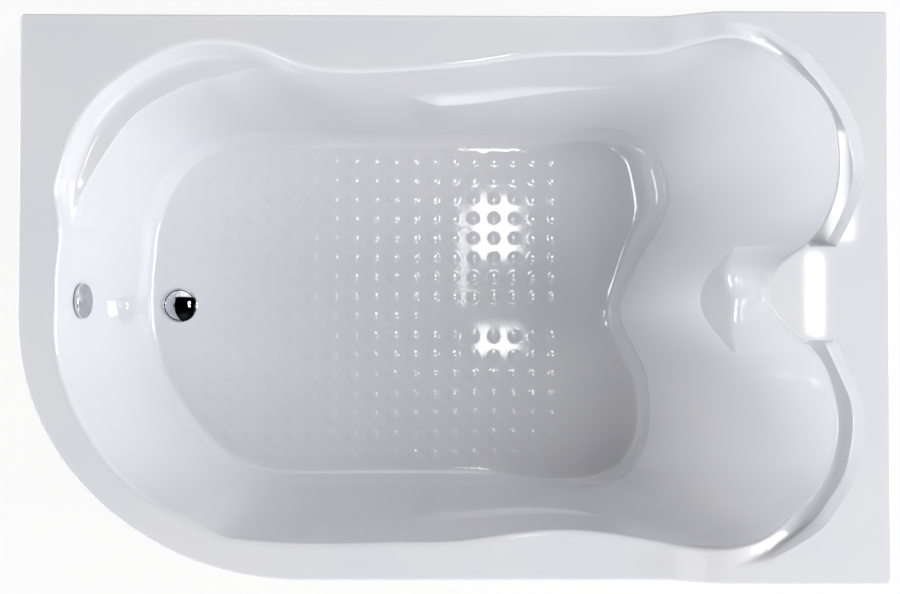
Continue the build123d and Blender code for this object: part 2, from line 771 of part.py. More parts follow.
def drain_body():
    """Drain chamber with its side socket, bottom outlet, rod guide and cable gland."""
    top = -(ACRYLIC + LAMINATE + GASKET)
    low = top - DRAIN_CHAMBER_HEIGHT
    chamber = cylinder(CHAMBER_RADIUS, low, top) + cylinder(GASKET_RADIUS, top - CHAMBER_WALL, top)
    chamber += cylinder(OUTLET_RADIUS, low - TRAP_NECK, low)
    side = Plane(origin=(0, 0, pipe_height()), z_dir=(-1, 0, 0))
    reach = CHAMBER_RADIUS + SOCKET_LENGTH
    chamber += side * cylinder(PIPE_RADIUS + SOCKET_WALL, 0, reach)
    gland = Plane(origin=(0, CABLE_OFFSET, pipe_height()), z_dir=(-1, 0, 0))
    chamber += gland * cylinder(CABLE_GLAND_RADIUS, 0, CHAMBER_RADIUS + CABLE_GLAND_LENGTH)
    chamber -= cylinder(CHAMBER_RADIUS - CHAMBER_WALL, low + CHAMBER_WALL, top - CHAMBER_WALL)
    chamber -= cylinder(THROAT_RADIUS + RUNNING_CLEARANCE, top - CHAMBER_WALL - 1, top + 1)
    chamber -= cylinder(OUTLET_RADIUS - OUTLET_WALL, low - TRAP_NECK - 1, low + CHAMBER_WALL + 1)
    chamber -= side * cylinder(PIPE_RADIUS - PIPE_WALL, 0, reach + 1)
    chamber -= side * cylinder(PIPE_RADIUS + RUNNING_CLEARANCE, reach - PIPE_SOCKET, reach + 1)
    chamber -= gland * cylinder(CABLE_RADIUS + RUNNING_CLEARANCE, CHAMBER_RADIUS,
                                CHAMBER_RADIUS + CABLE_GLAND_LENGTH + 1)
    span = 2 * (OUTLET_RADIUS - OUTLET_WALL) + 2
    for turn in (0, 90):
        arm = Rot(0, 0, turn) * Box(span, LIFT_ROD_RADIUS * 2, GUIDE_HEIGHT)
        chamber += Pos(0, 0, low + GUIDE_HEIGHT / 2 - CHAMBER_WALL) * arm
    chamber += cylinder(2 * LIFT_ROD_RADIUS, low - CHAMBER_WALL, low - CHAMBER_WALL + GUIDE_HEIGHT)
    chamber -= cylinder(LIFT_ROD_RADIUS + RUNNING_CLEARANCE, low - TRAP_NECK, low + 2 * GUIDE_HEIGHT)
    return drain_place() * chamber


def drain_plug():
    """Domed plug over the drain flange."""
    low = FLANGE_THICKNESS + SEAT_GAP
    flat = low + PLUG_LIP
    top = low + PLUG_HEIGHT
    edge = low + PLUG_EDGE
    inner = PLUG_RADIUS - PLUG_WALL
    dome = TangentArc((0, top), (PLUG_RADIUS, edge), tangent=(1, 0))
    corners = [(PLUG_RADIUS, edge), (PLUG_RADIUS, low), (inner, low), (inner, flat), (0, flat), (0, top)]
    under = Polyline(*corners)
    return drain_place() * revolve(Plane.XZ * make_face([dome, under]), Axis.Z)


def plug_seal():
    """Rubber ring under the plug."""
    height = FLANGE_THICKNESS + SEAT_GAP + PLUG_LIP - SEAL_SECTION
    return drain_place() * Pos(0, 0, height) * Torus(SEAL_RADIUS, SEAL_SECTION)


def lift_rod():
    """Rod that lifts the plug, in its guide."""
    top = FLANGE_THICKNESS + SEAT_GAP + PLUG_LIP
    return drain_place() * cylinder(LIFT_ROD_RADIUS, top - LIFT_ROD_LENGTH, top)


def overflow_back():
    """Where the overflow body's flange lies along the overflow's axis."""
    return -sheet_along_overflow() - GASKET


def overflow_body():
    """Overflow chamber behind the foot wall, with the pipe socket and the cable gland below it."""
    back = overflow_back()
    rear = back - OVERFLOW_CHAMBER_DEPTH
    plane = overflow_plane()
    socket = overflow_socket()
    upright = Pos(socket.X, socket.Y, 0)
    gland = Pos(socket.X, socket.Y + CABLE_OFFSET, 0)
    gland_low = socket.Z + NUT_LENGTH
    top = plane.origin.Z
    body = plane * (cylinder(OVERFLOW_PLATE_RADIUS, back - CHAMBER_WALL, back)
                    + cylinder(OVERFLOW_CHAMBER_RADIUS, rear, back))
    body += upright * cylinder(PIPE_RADIUS + SOCKET_WALL, socket.Z, top)
    body += gland * cylinder(CABLE_GLAND_RADIUS, gland_low, top)
    body -= plane * cylinder(OVERFLOW_CHAMBER_RADIUS - CHAMBER_WALL, rear + CHAMBER_WALL, 1)
    body -= upright * cylinder(PIPE_RADIUS - PIPE_WALL, socket.Z - 1, top)
    body -= upright * cylinder(PIPE_RADIUS + RUNNING_CLEARANCE, socket.Z - 1, socket.Z + PIPE_SOCKET)
    body -= gland * cylinder(CABLE_RADIUS + RUNNING_CLEARANCE, gland_low - 1, gland_low + CABLE_GLAND_LENGTH)
    for spot in screw_ring():
        body -= plane * spot * cylinder(SMALL_SCREW_RADIUS + RUNNING_CLEARANCE, rear, 1)
    hub = cylinder(2 * KNOB_SPINDLE_RADIUS, rear + CHAMBER_WALL / 2, rear + 3 * CHAMBER_WALL)
    hub -= cylinder(KNOB_SPINDLE_RADIUS + RUNNING_CLEARANCE, rear + CHAMBER_WALL, 1)
    return body + plane * hub


def overflow_gasket():
    """Rubber ring between the laminate and the overflow body."""
    back = overflow_back()
    ring = ring_of(OVERFLOW_PLATE_RADIUS, WASTE_HOLE_RADIUS + SEAT_GAP, back, back + GASKET)
    return overflow_plane() * without_screws(ring, SEAT_GAP)


def without_screws(shape, clearance):
    """A shape on the overflow's axis with the two screw holes."""
    for spot in screw_ring():
        shape -= spot * cylinder(SMALL_SCREW_RADIUS + clearance, -CUTTER_REACH, CUTTER_REACH)
    return shape


def overflow_plate():
    """Fixed plate on the foot wall: a ring with a bearing hub on three arms."""
    plate = ring_of(OVERFLOW_PLATE_RADIUS, OVERFLOW_CHAMBER_RADIUS - CHAMBER_WALL, 0, OVERFLOW_PLATE)
    for turn in (90, 210, 330):
        middle = Pos(OVERFLOW_CHAMBER_RADIUS / 2, 0, OVERFLOW_PLATE / 2)
        plate += Rot(0, 0, turn) * middle * Box(OVERFLOW_CHAMBER_RADIUS, PLATE_ARM, OVERFLOW_PLATE)
    plate += cylinder(PLATE_HUB_RADIUS, 0, OVERFLOW_PLATE)
    plate -= cylinder(KNOB_SPINDLE_RADIUS + RUNNING_CLEARANCE, -1, OVERFLOW_PLATE + 1)
    return overflow_plane() * without_screws(plate, RUNNING_CLEARANCE)


def overflow_screws():
    """Two screws from the plate into the overflow body, in one group."""
    screws = []
    for spot in screw_ring():
        screw = cylinder(SMALL_SCREW_RADIUS, OVERFLOW_PLATE - SMALL_SCREW_LENGTH, OVERFLOW_PLATE)
        screw += cylinder(SMALL_SCREW_HEAD_RADIUS, OVERFLOW_PLATE, OVERFLOW_PLATE + SMALL_SCREW_HEAD)
        screws.append(overflow_plane() * spot * screw)
    return Compound(children=screws)


def overflow_knob():
    """Round turning cap with its spindle and two water slots at its lower edge."""
    front = KNOB_STAND_OFF + KNOB_DEPTH
    cap = cylinder(KNOB_RADIUS, KNOB_STAND_OFF, front)
    front_edge = cap.edges().filter_by(GeomType.CIRCLE).sort_by(Axis.Z)[-1]
    cap = fillet(front_edge, KNOB_WALL)
    cap -= cylinder(KNOB_RADIUS - KNOB_WALL, KNOB_STAND_OFF - 1, front - KNOB_WALL)
    for turn in (-KNOB_SLOT_TURN, KNOB_SLOT_TURN):
        slot = Box(KNOB_SLOT_WIDTH, 3 * KNOB_WALL, KNOB_SLOT_HEIGHT)
        cap -= Rot(0, 0, turn) * Pos(0, -KNOB_RADIUS, KNOB_STAND_OFF + KNOB_DEPTH / 2) * slot
    spindle_end = overflow_back() - OVERFLOW_CHAMBER_DEPTH + CHAMBER_WALL + SEAT_GAP
    spindle = cylinder(KNOB_SPINDLE_RADIUS, spindle_end, front - KNOB_WALL)
    return overflow_plane() * (cap + spindle)


def overflow_socket():
    """Lower mouth of the overflow body's pipe socket."""
    plane = overflow_plane()
    spot = plane.origin + plane.z_dir * (overflow_back() - OVERFLOW_CHAMBER_DEPTH / 2)
    return Vector(spot.X, spot.Y, spot.Z - OVERFLOW_CHAMBER_RADIUS - PIPE_DROP)


def screw_ring():
    """Places of the two overflow screws round the overflow's axis."""
    return [Rot(0, 0, turn) * Pos(SCREW_RING_RADIUS, 0, 0) for turn in (0, 180)]


def drain_point():
    """Centre of the drain on the basin floor."""
    return Vector(DRAIN_FROM_FOOT - LENGTH / 2, waste_y(), RIM_HEIGHT - BASIN_DEPTH)


def bent_run(y, top, low, end_x, bend):
    """Path down from the overflow and along to the drain, with one round bend."""
    x = overflow_socket().X
    return FilletPolyline((x, y, top), (x, y, low), (end_x, y, low), radius=bend)


def overflow_pipe():
    """Rigid pipe from the overflow body to the drain body."""
    drain = drain_point()
    low = drain.Z + pipe_height()
    end_x = drain.X - CHAMBER_RADIUS - SOCKET_LENGTH + PIPE_SOCKET - SEAT_GAP
    path = bent_run(drain.Y, overflow_socket().Z + PIPE_SOCKET - SEAT_GAP, low, end_x, PIPE_BEND)
    section = path ^ 0
    return sweep(section * (Circle(PIPE_RADIUS) - Circle(PIPE_RADIUS - PIPE_WALL)), path=path)


def control_cable():
    """Cable from the overflow knob's gear to the lift rod's gear, held by its glands and clips."""
    drain = drain_point()
    low = drain.Z + pipe_height()
    top = overflow_socket().Z + NUT_LENGTH + CABLE_GLAND_LENGTH - SEAT_GAP
    path = bent_run(drain.Y + CABLE_OFFSET, top, low, drain.X - CHAMBER_RADIUS - SEAT_GAP, CABLE_BEND)
    section = path ^ 0
    return sweep(section * Circle(CABLE_RADIUS), path=path)


def union_nut(bore, pipe):
    """Round nut with a lip at its mouth, standing on the work plane with the lip on top."""
    body = ring_of(bore + NUT_WALL, bore + RUNNING_CLEARANCE, 0, NUT_LENGTH - NUT_LIP)
    return body + ring_of(bore + NUT_WALL, pipe + RUNNING_CLEARANCE, NUT_LENGTH - NUT_LIP, NUT_LENGTH)


def pipe_nuts():
    """Union nuts at both ends of the overflow pipe, in one group."""
    socket = overflow_socket()
    nut = union_nut(PIPE_RADIUS + SOCKET_WALL, PIPE_RADIUS)
    seat = NUT_LENGTH - NUT_LIP - SEAT_GAP
    upper = Plane(origin=(socket.X, socket.Y, socket.Z + seat), x_dir=(1, 0, 0), z_dir=(0, 0, -1)) * nut
    mouth = CHAMBER_RADIUS + SOCKET_LENGTH - seat
    drain = drain_point()
    lower = Plane(origin=(drain.X - mouth, drain.Y, drain.Z + pipe_height()), z_dir=(-1, 0, 0)) * nut
    return Compound(children=[upper, lower])


def cable_clips():
    """Clips that hold the cable beside the pipe, in one group."""
    socket = overflow_socket()
    clips = []
    for drop in CLIP_DROPS:
        low, high = socket.Z - drop, socket.Z - drop + CLIP_HEIGHT
        clip = cylinder(PIPE_RADIUS + CLIP_WALL, low, high)
        clip += Pos(0, CABLE_OFFSET, 0) * cylinder(CABLE_RADIUS + CLIP_WALL, low, high)
        clip += bar((-CLIP_WALL, CLIP_WALL), (PIPE_RADIUS, CABLE_OFFSET), (low, high))
        clip -= cylinder(PIPE_RADIUS + RUNNING_CLEARANCE, low - 1, high + 1)
        clip -= Pos(0, CABLE_OFFSET, 0) * cylinder(CABLE_RADIUS + RUNNING_CLEARANCE, low - 1, high + 1)
        clips.append(Pos(socket.X, socket.Y, 0) * clip)
    return Compound(children=clips)


def trap_top():
    """Height of the trap cup's top below the basin floor."""
    outlet_end = -(ACRYLIC + LAMINATE + GASKET) - DRAIN_CHAMBER_HEIGHT - TRAP_NECK
    return outlet_end - TRAP_WALL


def outlet_plane():
    """Plane across the trap's outlet, at the trap's middle line, facing the back."""
    return Plane(origin=(0, 0, trap_top() - OUTLET_DROP), x_dir=(1, 0, 0), z_dir=(0, 1, 0))


def trap_body():
    """Water trap: a cup with a neck for the drain's outlet and a side socket for the outlet pipe."""
    top = trap_top()
    low = top - TRAP_HEIGHT
    neck = OUTLET_RADIUS + TRAP_WALL
    cup = cylinder(TRAP_RADIUS, low, top) + cylinder(neck, top, top + TRAP_NECK)
    side = outlet_plane()
    cup += side * cylinder(neck, 0, TRAP_RADIUS + OUTLET_SOCKET)
    cup -= cylinder(TRAP_RADIUS - TRAP_WALL, low + TRAP_WALL, top - TRAP_WALL)
    cup -= cylinder(OUTLET_RADIUS - OUTLET_WALL, top - TRAP_WALL - 1, top + 1)
    cup -= cylinder(OUTLET_RADIUS + RUNNING_CLEARANCE, top, top + TRAP_NECK + 1)
    cup -= side * cylinder(OUTLET_RADIUS - OUTLET_WALL, 0, TRAP_RADIUS + OUTLET_SOCKET)
    mouth = TRAP_RADIUS + OUTLET_SOCKET
    cup -= side * cylinder(spigot_radius() + RUNNING_CLEARANCE, mouth - OUTLET_INSERT, mouth + 1)
    cup -= cylinder(TRAP_CAP_HOLE + RUNNING_CLEARANCE, low - 1, low + TRAP_WALL + 1)
    return drain_place() * cup


def trap_cap():
    """Cleaning cap in the bottom of the trap."""
    low = trap_top() - TRAP_HEIGHT
    cap = cylinder(TRAP_CAP_RADIUS, low - TRAP_CAP_THICKNESS, low)
    return drain_place() * (cap + cylinder(TRAP_CAP_HOLE, low, low + TRAP_CAP_PLUG))


def trap_inlet_nut():
    """Nut that draws the trap's neck on to the drain's outlet."""
    nut = union_nut(OUTLET_RADIUS + TRAP_WALL, OUTLET_RADIUS)
    low = trap_top() + TRAP_NECK + SEAT_GAP + NUT_LIP - NUT_LENGTH
    return drain_place() * Pos(0, 0, low) * nut


def trap_outlet_nut():
    """Nut that holds the outlet pipe in the trap's side socket."""
    nut = union_nut(OUTLET_RADIUS + TRAP_WALL, spigot_radius())
    low = TRAP_RADIUS + OUTLET_SOCKET + SEAT_GAP + NUT_LIP - NUT_LENGTH
    return drain_place() * (outlet_plane() * Pos(0, 0, low) * nut)


def spigot_radius():
    """Radius of the outlet pipe's end where it sits in the trap's side socket."""
    return OUTLET_RADIUS - OUTLET_SPIGOT_STEP


def free_outlet_start():
    """Distance from the trap's middle to where the outlet pipe comes free of its nut."""
    return TRAP_RADIUS + OUTLET_SOCKET + NUT_LIP + 2 * SEAT_GAP


def outlet_pipe():
    """Outlet pipe from the trap towards the wall, a little slimmer where it sits in the socket."""
    start = TRAP_RADIUS + OUTLET_SOCKET - OUTLET_INSERT + SEAT_GAP
    bore = OUTLET_RADIUS - OUTLET_WALL
    pipe = ring_of(spigot_radius(), bore, start, free_outlet_start())
    pipe += ring_of(OUTLET_RADIUS, bore, free_outlet_start(), start + OUTLET_LENGTH)
    return drain_place() * (outlet_plane() * pipe)


def all_nodes():
    """Every node of the tub by name."""
    nodes = {
        "acrylic_shell": acrylic_shell(),
        "laminate_shell": laminate_shell(),
        "base_board": base_board(),
        "rim_plates": rim_plates(),
        "batten_screws": batten_screws(),
        "board_screws": board_screws(),
        "levelling_nuts": levelling_nuts(),
        "drain_flange": drain_flange(),
        "drain_gasket": drain_gasket(),
        "drain_body": drain_body(),
        "drain_plug": drain_plug(),
        "plug_seal": plug_seal(),
        "lift_rod": lift_rod(),
        "overflow_body": overflow_body(),
        "overflow_gasket": overflow_gasket(),
        "overflow_plate": overflow_plate(),
        "overflow_screws": overflow_screws(),
        "overflow_knob": overflow_knob(),
        "overflow_pipe": overflow_pipe(),
        "pipe_nuts": pipe_nuts(),
        "control_cable": control_cable(),
        "cable_clips": cable_clips(),
        "trap_body": trap_body(),
        "trap_cap": trap_cap(),
        "trap_inlet_nut": trap_inlet_nut(),
        "trap_outlet_nut": trap_outlet_nut(),
        "outlet_pipe": outlet_pipe(),
    }
    nodes.update(battens())
    nodes.update(rails())
    nodes.update(cross_members())
    nodes.update(posts())
    for index, (x, y) in enumerate(foot_places(), start=1):
        nodes["threaded_rod_" + str(index)] = threaded_rod(x, y)
        nodes["foot_pad_" + str(index)] = foot_pad(x, y)
    return nodes


os.makedirs("parts", exist_ok=True)
for node, shape in all_nodes().items():
    export_step(shape, "parts/" + node + ".step")
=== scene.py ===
"""Looks of an asymmetric acrylic bathtub with twin backrests, dressed round its fixed frame.

The formed sheet is one closed mesh: deck, rolled lip, shelves, walls and floor with its round studs.
Everything is in metres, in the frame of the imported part: +X is the head end, +Y the wall side.
"""

import json
import logging
import math
from dataclasses import dataclass, field
from enum import Enum
from typing import Any, Callable

import bpy
import numpy as np
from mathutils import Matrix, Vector, noise
from mathutils.geometry import delaunay_2d_cdt
from mathutils.kdtree import KDTree


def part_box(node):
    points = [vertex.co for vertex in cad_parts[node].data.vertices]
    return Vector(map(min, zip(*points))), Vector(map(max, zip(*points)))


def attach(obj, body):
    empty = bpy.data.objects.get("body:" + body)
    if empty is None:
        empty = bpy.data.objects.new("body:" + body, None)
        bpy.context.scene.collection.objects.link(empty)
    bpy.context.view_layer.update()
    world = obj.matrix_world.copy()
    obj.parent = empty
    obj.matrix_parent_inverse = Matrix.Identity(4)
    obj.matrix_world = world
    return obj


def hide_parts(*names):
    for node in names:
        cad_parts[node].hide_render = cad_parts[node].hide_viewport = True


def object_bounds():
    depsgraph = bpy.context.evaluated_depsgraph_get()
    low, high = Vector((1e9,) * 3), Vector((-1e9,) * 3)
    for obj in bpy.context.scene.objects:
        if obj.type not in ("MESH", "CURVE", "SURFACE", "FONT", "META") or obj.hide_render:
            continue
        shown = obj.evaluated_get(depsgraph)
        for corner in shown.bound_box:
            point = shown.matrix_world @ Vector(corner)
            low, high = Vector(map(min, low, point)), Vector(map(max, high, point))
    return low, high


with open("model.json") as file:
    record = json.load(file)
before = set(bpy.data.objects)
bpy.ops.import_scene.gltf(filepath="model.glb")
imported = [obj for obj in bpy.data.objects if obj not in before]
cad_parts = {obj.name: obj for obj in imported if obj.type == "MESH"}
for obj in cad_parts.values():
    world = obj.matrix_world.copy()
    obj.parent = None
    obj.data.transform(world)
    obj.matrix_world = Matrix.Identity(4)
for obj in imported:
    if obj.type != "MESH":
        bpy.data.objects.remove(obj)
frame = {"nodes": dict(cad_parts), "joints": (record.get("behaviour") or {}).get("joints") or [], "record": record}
CAD_BOX = [list(corner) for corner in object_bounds()]

LOG = logging.getLogger("bathtub")
MM = 0.001

# Basin stations in millimetres, walked round from the foot end by way of the back. Each is written
# from the end and the long side that it is nearest to: the rim's distance from the end and from the
# side, the same two for the foot of the wall, and the width of the cove that leads on to the floor.
FOOT_BACK = [
    (78, 505, 161, 502, 34), (82, 467, 165, 464, 34), (84, 430, 167, 427, 34), (75, 350, 182, 355, 32),
    (85, 297, 205, 300, 32), (113, 222, 250, 243, 32), (164, 154, 295, 210, 32), (240, 97, 345, 191, 32),
    (311, 65, 400, 183, 32), (393, 56, 460, 180, 32), (472, 70, 520, 180, 32), (551, 101, 580, 180, 32),
    (675, 114, 680, 179, 32), (785, 108, 790, 178, 32),
]
HEAD_BACK = [
    (810, 99, 810, 177, 30), (695, 82, 700, 175, 30), (557, 77, 595, 172, 30), (429, 71, 505, 171, 32),
    (360, 58, 455, 176, 45), (293, 53, 420, 189, 60), (218, 79, 393, 212, 72), (161, 121, 377, 247, 78),
    (112, 177, 367, 283, 80), (92, 250, 362, 320, 78), (96, 347, 370, 360, 68), (125, 416, 390, 400, 55),
    (167, 460, 422, 450, 42), (217, 497, 452, 510, 30), (237, 550, 472, 577, 25),
]
HEAD_FRONT = [
    (212, 510, 452, 475, 28), (168, 471, 432, 435, 30), (127, 429, 417, 403, 30), (103, 368, 409, 358, 26),
    (94, 310, 407, 307, 22), (104, 241, 416, 245, 24), (124, 193, 433, 205, 30), (185, 126, 465, 171, 36),
    (238, 87, 500, 155, 40), (315, 67, 538, 148, 42), (380, 67, 575, 146, 42), (447, 75, 610, 146, 42),
    (536, 90, 645, 146, 42), (621, 97, 685, 146, 42), (704, 93, 735, 146, 42), (846, 75, 850, 146, 42),
]
FOOT_FRONT = [
    (751, 73, 755, 146, 42), (649, 71, 660, 146, 40), (530, 72, 550, 146, 38), (467, 76, 495, 148, 36),
    (391, 90, 435, 156, 34), (340, 117, 390, 171, 34), (261, 158, 330, 205, 34), (182, 228, 268, 265, 34),
    (129, 310, 218, 335, 34), (95, 386, 185, 400, 34), (78, 460, 167, 470, 34), (77, 550, 160, 547, 34),
]

# Outer edge of each headrest ledge in millimetres, from the head end and the nearest long side
BACK_LEDGE = [(318, 16), (250, 31), (192, 60), (153, 86), (104, 144), (66, 213), (47, 291), (53, 349),
              (77, 411), (104, 460)]
FRONT_LEDGE = [(106, 470), (75, 402), (56, 354), (50, 305), (57, 248), (71, 199), (100, 151), (139, 103),
               (216, 55), (265, 36), (313, 25)]


def linear(code: str) -> tuple[float, float, float, float]:
    """Turns an sRGB hex value into the linear colour that a shader takes.

    Args:
        code: Colour such as "#C8C9CE".

    Returns:
        Linear red, green and blue, with an alpha of 1.
    """
    parts = [int(code[place:place + 2], 16) / 255 for place in (1, 3, 5)]
    shade = [part / 12.92 if part <= 0.04045 else ((part + 0.055) / 1.055) ** 2.4 for part in parts]
    return (shade[0], shade[1], shade[2], 1.0)


def smooth(share: np.ndarray) -> np.ndarray:
    """Smooth step from 0 to 1 over shares from 0 to 1."""
    share = np.clip(share, 0.0, 1.0)
    return share * share * (3 - 2 * share)


def unit(vectors: np.ndarray) -> np.ndarray:
    """Vectors of length 1 along the last axis."""
    return vectors / np.maximum(np.linalg.norm(vectors, axis=-1, keepdims=True), 1e-12)


def closed_spline(marks: np.ndarray, values: np.ndarray, at: np.ndarray) -> np.ndarray:
    """Periodic cubic spline.

    Args:
        marks: Parameter of each value, with the period's end as one more mark.
        values: One row per mark but the last.
        at: Parameters to read the spline at.

    Returns:
        One row per parameter.
    """
    count = len(values)
    gaps = np.diff(marks)
    after = np.roll(values, -1, axis=0)
    slopes = (after - values) / gaps[:, None]
    matrix = np.zeros((count, count))
    for row in range(count):
        matrix[row, row - 1] += gaps[row - 1]
        matrix[row, row] += 2 * (gaps[row - 1] + gaps[row])
        matrix[row, (row + 1) % count] += gaps[row]
    bend = np.linalg.solve(matrix, 6 * (slopes - np.roll(slopes, 1, axis=0)))
    bend_after = np.roll(bend, -1, axis=0)
    index = np.clip(np.searchsorted(marks, at, side="right") - 1, 0, count - 1)
    gap = gaps[index][:, None]
    left = (at - marks[index])[:, None]
    right = gap - left
    curve = (bend[index] * right ** 3 + bend_after[index] * left ** 3) / (6 * gap)
    line = (values[index] / gap - bend[index] * gap / 6) * right
    return curve + line + (after[index] / gap - bend_after[index] * gap / 6) * left


def open_spline(points: np.ndarray, spacing: float) -> np.ndarray:
    """Smooth open curve through points.

    Args:
        points: Points in order.
        spacing: Distance between the points that come back.

    Returns:
        Points along the curve.
    """
    before = 2 * points[0] - points[1]
    after = 2 * points[-1] - points[-2]
    full = np.vstack([before, points, after])
    found = [points[0]]
    for index in range(1, len(full) - 2):
        one, two, three, four = full[index - 1:index + 3]
        steps = max(int(np.linalg.norm(three - two) / spacing), 2)
        for step in range(1, steps + 1):
            share = step / steps
            bend = 2 * one - 5 * two + 4 * three - four
            curve = (2 * two + (three - one) * share + bend * share ** 2
                     + (3 * two - one - 3 * three + four) * share ** 3)
            found.append(curve / 2)
    return np.array(found)


def inside(points: np.ndarray, loop: np.ndarray) -> np.ndarray:
    """Whether plan points lie within a closed loop."""
    found = np.zeros(len(points), bool)
    after = np.roll(loop, -1, axis=0)
    for start, end in zip(loop, after):
        if start[1] == end[1]:
            continue
        crosses = (points[:, 1] < start[1]) != (points[:, 1] < end[1])
        share = (points[:, 1] - start[1]) / (end[1] - start[1])
        found ^= crosses & (points[:, 0] < start[0] + share * (end[0] - start[0]))
    return found


def add_node(tree: bpy.types.NodeTree, kind: str, settings: dict[str, Any] | None = None,
             inputs: dict[Any, Any] | None = None) -> bpy.types.Node:
    """Adds one node to a node tree.

    Args:
        tree: The tree to add to.
        kind: The node's class name.
        settings: Values of the node's own attributes.
        inputs: Value or source socket for each input, by name or number.

    Returns:
        The new node.
    """
    node = tree.nodes.new(kind)
    for name, value in (settings or {}).items():
        setattr(node, name, value)
    for name, value in (inputs or {}).items():
        if isinstance(value, bpy.types.NodeSocket):
            tree.links.new(value, node.inputs[name])
        else:
            node.inputs[name].default_value = value
    return node


@dataclass
class Blend:
    """A ramp between two colours that a pattern drives."""

    low: str
    high: str
    start: float = 0.0
    end: float = 1.0

    def colour(self, tree: bpy.types.NodeTree, driver: bpy.types.NodeSocket) -> bpy.types.NodeSocket:
        """Adds the ramp and gives back its colour output."""
        ramp = add_node(tree, "ShaderNodeValToRGB", inputs={"Fac": driver})
        ramp.color_ramp.elements[0].position = self.start
        ramp.color_ramp.elements[0].color = linear(self.low)
        ramp.color_ramp.elements[1].position = self.end
        ramp.color_ramp.elements[1].color = linear(self.high)
        return ramp.outputs["Color"]


@dataclass(frozen=True)
class Finish:
    """What every finish shares: its name, gloss and the tree that it is made in."""

    name: str
    roughness: float
    metallic: float = 0.0
    ior: float = 1.5

    def start(self) -> tuple[bpy.types.Material, bpy.types.NodeTree, bpy.types.NodeSocket]:
        """Makes the empty material.

        Returns:
            The material, its tree, and the object's own coordinates in metres.
        """
        material = bpy.data.materials.new(self.name)
        material.use_nodes = True
        material.node_tree.nodes.clear()
        where = add_node(material.node_tree, "ShaderNodeTexCoord").outputs["Object"]
        return material, material.node_tree, where

    def close(self, tree: bpy.types.NodeTree, inputs: dict[str, Any]) -> None:
        """Adds the surface shader with the finish's gloss and links it to the output."""
        values = {"Roughness": self.roughness, "Metallic": self.metallic}
        if not self.metallic:
            values["IOR"] = self.ior
        values.update(inputs)
        surface = add_node(tree, "ShaderNodeBsdfPrincipled", inputs=values)
        add_node(tree, "ShaderNodeOutputMaterial", inputs={"Surface": surface.outputs["BSDF"]})

    def noise(self, tree: bpy.types.NodeTree, where: bpy.types.NodeSocket, grain: float,
              detail: float = 2.0) -> bpy.types.NodeSocket:
        """Noise whose patches are about one grain wide, given in millimetres."""
        inputs = {"Vector": where, "Scale": 1 / (grain * MM), "Detail": detail}
        return add_node(tree, "ShaderNodeTexNoise", inputs=inputs).outputs["Fac"]

    def bump(self, tree: bpy.types.NodeTree, height: bpy.types.NodeSocket, depth: float,
             strength: float = 1.0) -> bpy.types.NodeSocket:
        """Relief of a given depth in millimetres."""
        inputs = {"Height": height, "Distance": depth * MM, "Strength": strength}
        return add_node(tree, "ShaderNodeBump", inputs=inputs).outputs["Normal"]


@dataclass(frozen=True)
class SanitaryAcrylic(Finish):
    """Cast acrylic sheet, vacuum formed: glossy white, with the faint long waves that forming leaves."""

    colour: str = "#E2E2E6"
    cooler: str = "#DEDFE5"
    wave: float = 60.0
    wave_depth: float = 0.05

    def make(self) -> bpy.types.Material:
        """Builds the material."""
        material, tree, where = self.start()
        tint = Blend(self.cooler, self.colour, 0.3, 0.7).colour(tree, self.noise(tree, where, 300.0))
        waves = self.noise(tree, where, self.wave, 1.0)
        self.close(tree, {"Base Color": tint, "Normal": self.bump(tree, waves, self.wave_depth)})
        return material


@dataclass(frozen=True)
class Plated(Finish):
    """Electroplated metal: a bright film over polished or turned metal, slightly uneven in gloss."""

    colour: str = "#DADCE0"
    shade: str = "#C9CCD2"
    cloud: float = 12.0
    rougher: float = 0.02

    def make(self) -> bpy.types.Material:
        """Builds the material."""
        material, tree, where = self.start()
        cloud = self.noise(tree, where, self.cloud)
        tint = Blend(self.shade, self.colour, 0.35, 0.65).colour(tree, cloud)
        gloss = add_node(tree, "ShaderNodeMapRange", inputs={
            "Value": cloud, "To Min": self.roughness, "To Max": self.roughness + self.rougher})
        self.close(tree, {"Base Color": tint, "Roughness": gloss.outputs["Result"]})
        return material


@dataclass(frozen=True)
class Moulded(Finish):
    """Moulded or extruded plastic and rubber: even colour with a fine grain from the tool's surface."""

    colour: str = "#D9D9D6"
    shade: str = "#CDCDCA"
    grain: float = 0.9
    grain_depth: float = 0.04
    cloud: float = 25.0

    def make(self) -> bpy.types.Material:
        """Builds the material."""
        material, tree, where = self.start()
        tint = Blend(self.shade, self.colour, 0.3, 0.7).colour(tree, self.noise(tree, where, self.cloud))
        grain = self.noise(tree, where, self.grain, 4.0)
        self.close(tree, {"Base Color": tint, "Normal": self.bump(tree, grain, self.grain_depth)})
        return material


@dataclass(frozen=True)
class ChoppedGlass(Finish):
    """Chopped glass strands rolled into polyester resin: a milky crust with short crossing fibres."""

    resin: str = "#CFCCB6"
    strand: str = "#E6E4D6"
    strand_length: float = 22.0
    strand_width: float = 1.6
    strand_depth: float = 0.6

    def make(self) -> bpy.types.Material:
        """Builds the material."""
        material, tree, where = self.start()
        heights = []
        for turn in (0.3, 1.4, 2.5):
            mapping = add_node(tree, "ShaderNodeMapping", inputs={
                "Vector": where, "Rotation": (turn, turn * 1.7, turn * 2.3),
                "Scale": (1.0, self.strand_length / self.strand_width, self.strand_length / self.strand_width)})
            heights.append(self.noise(tree, mapping.outputs["Vector"], self.strand_length, 1.0))
        strands = heights[0]
        for other in heights[1:]:
            strands = add_node(tree, "ShaderNodeMath", {"operation": "MAXIMUM"},
                               {0: strands, 1: other}).outputs["Value"]
        tint = Blend(self.resin, self.strand, 0.5, 0.72).colour(tree, strands)
        self.close(tree, {"Base Color": tint, "Normal": self.bump(tree, strands, self.strand_depth)})
        return material


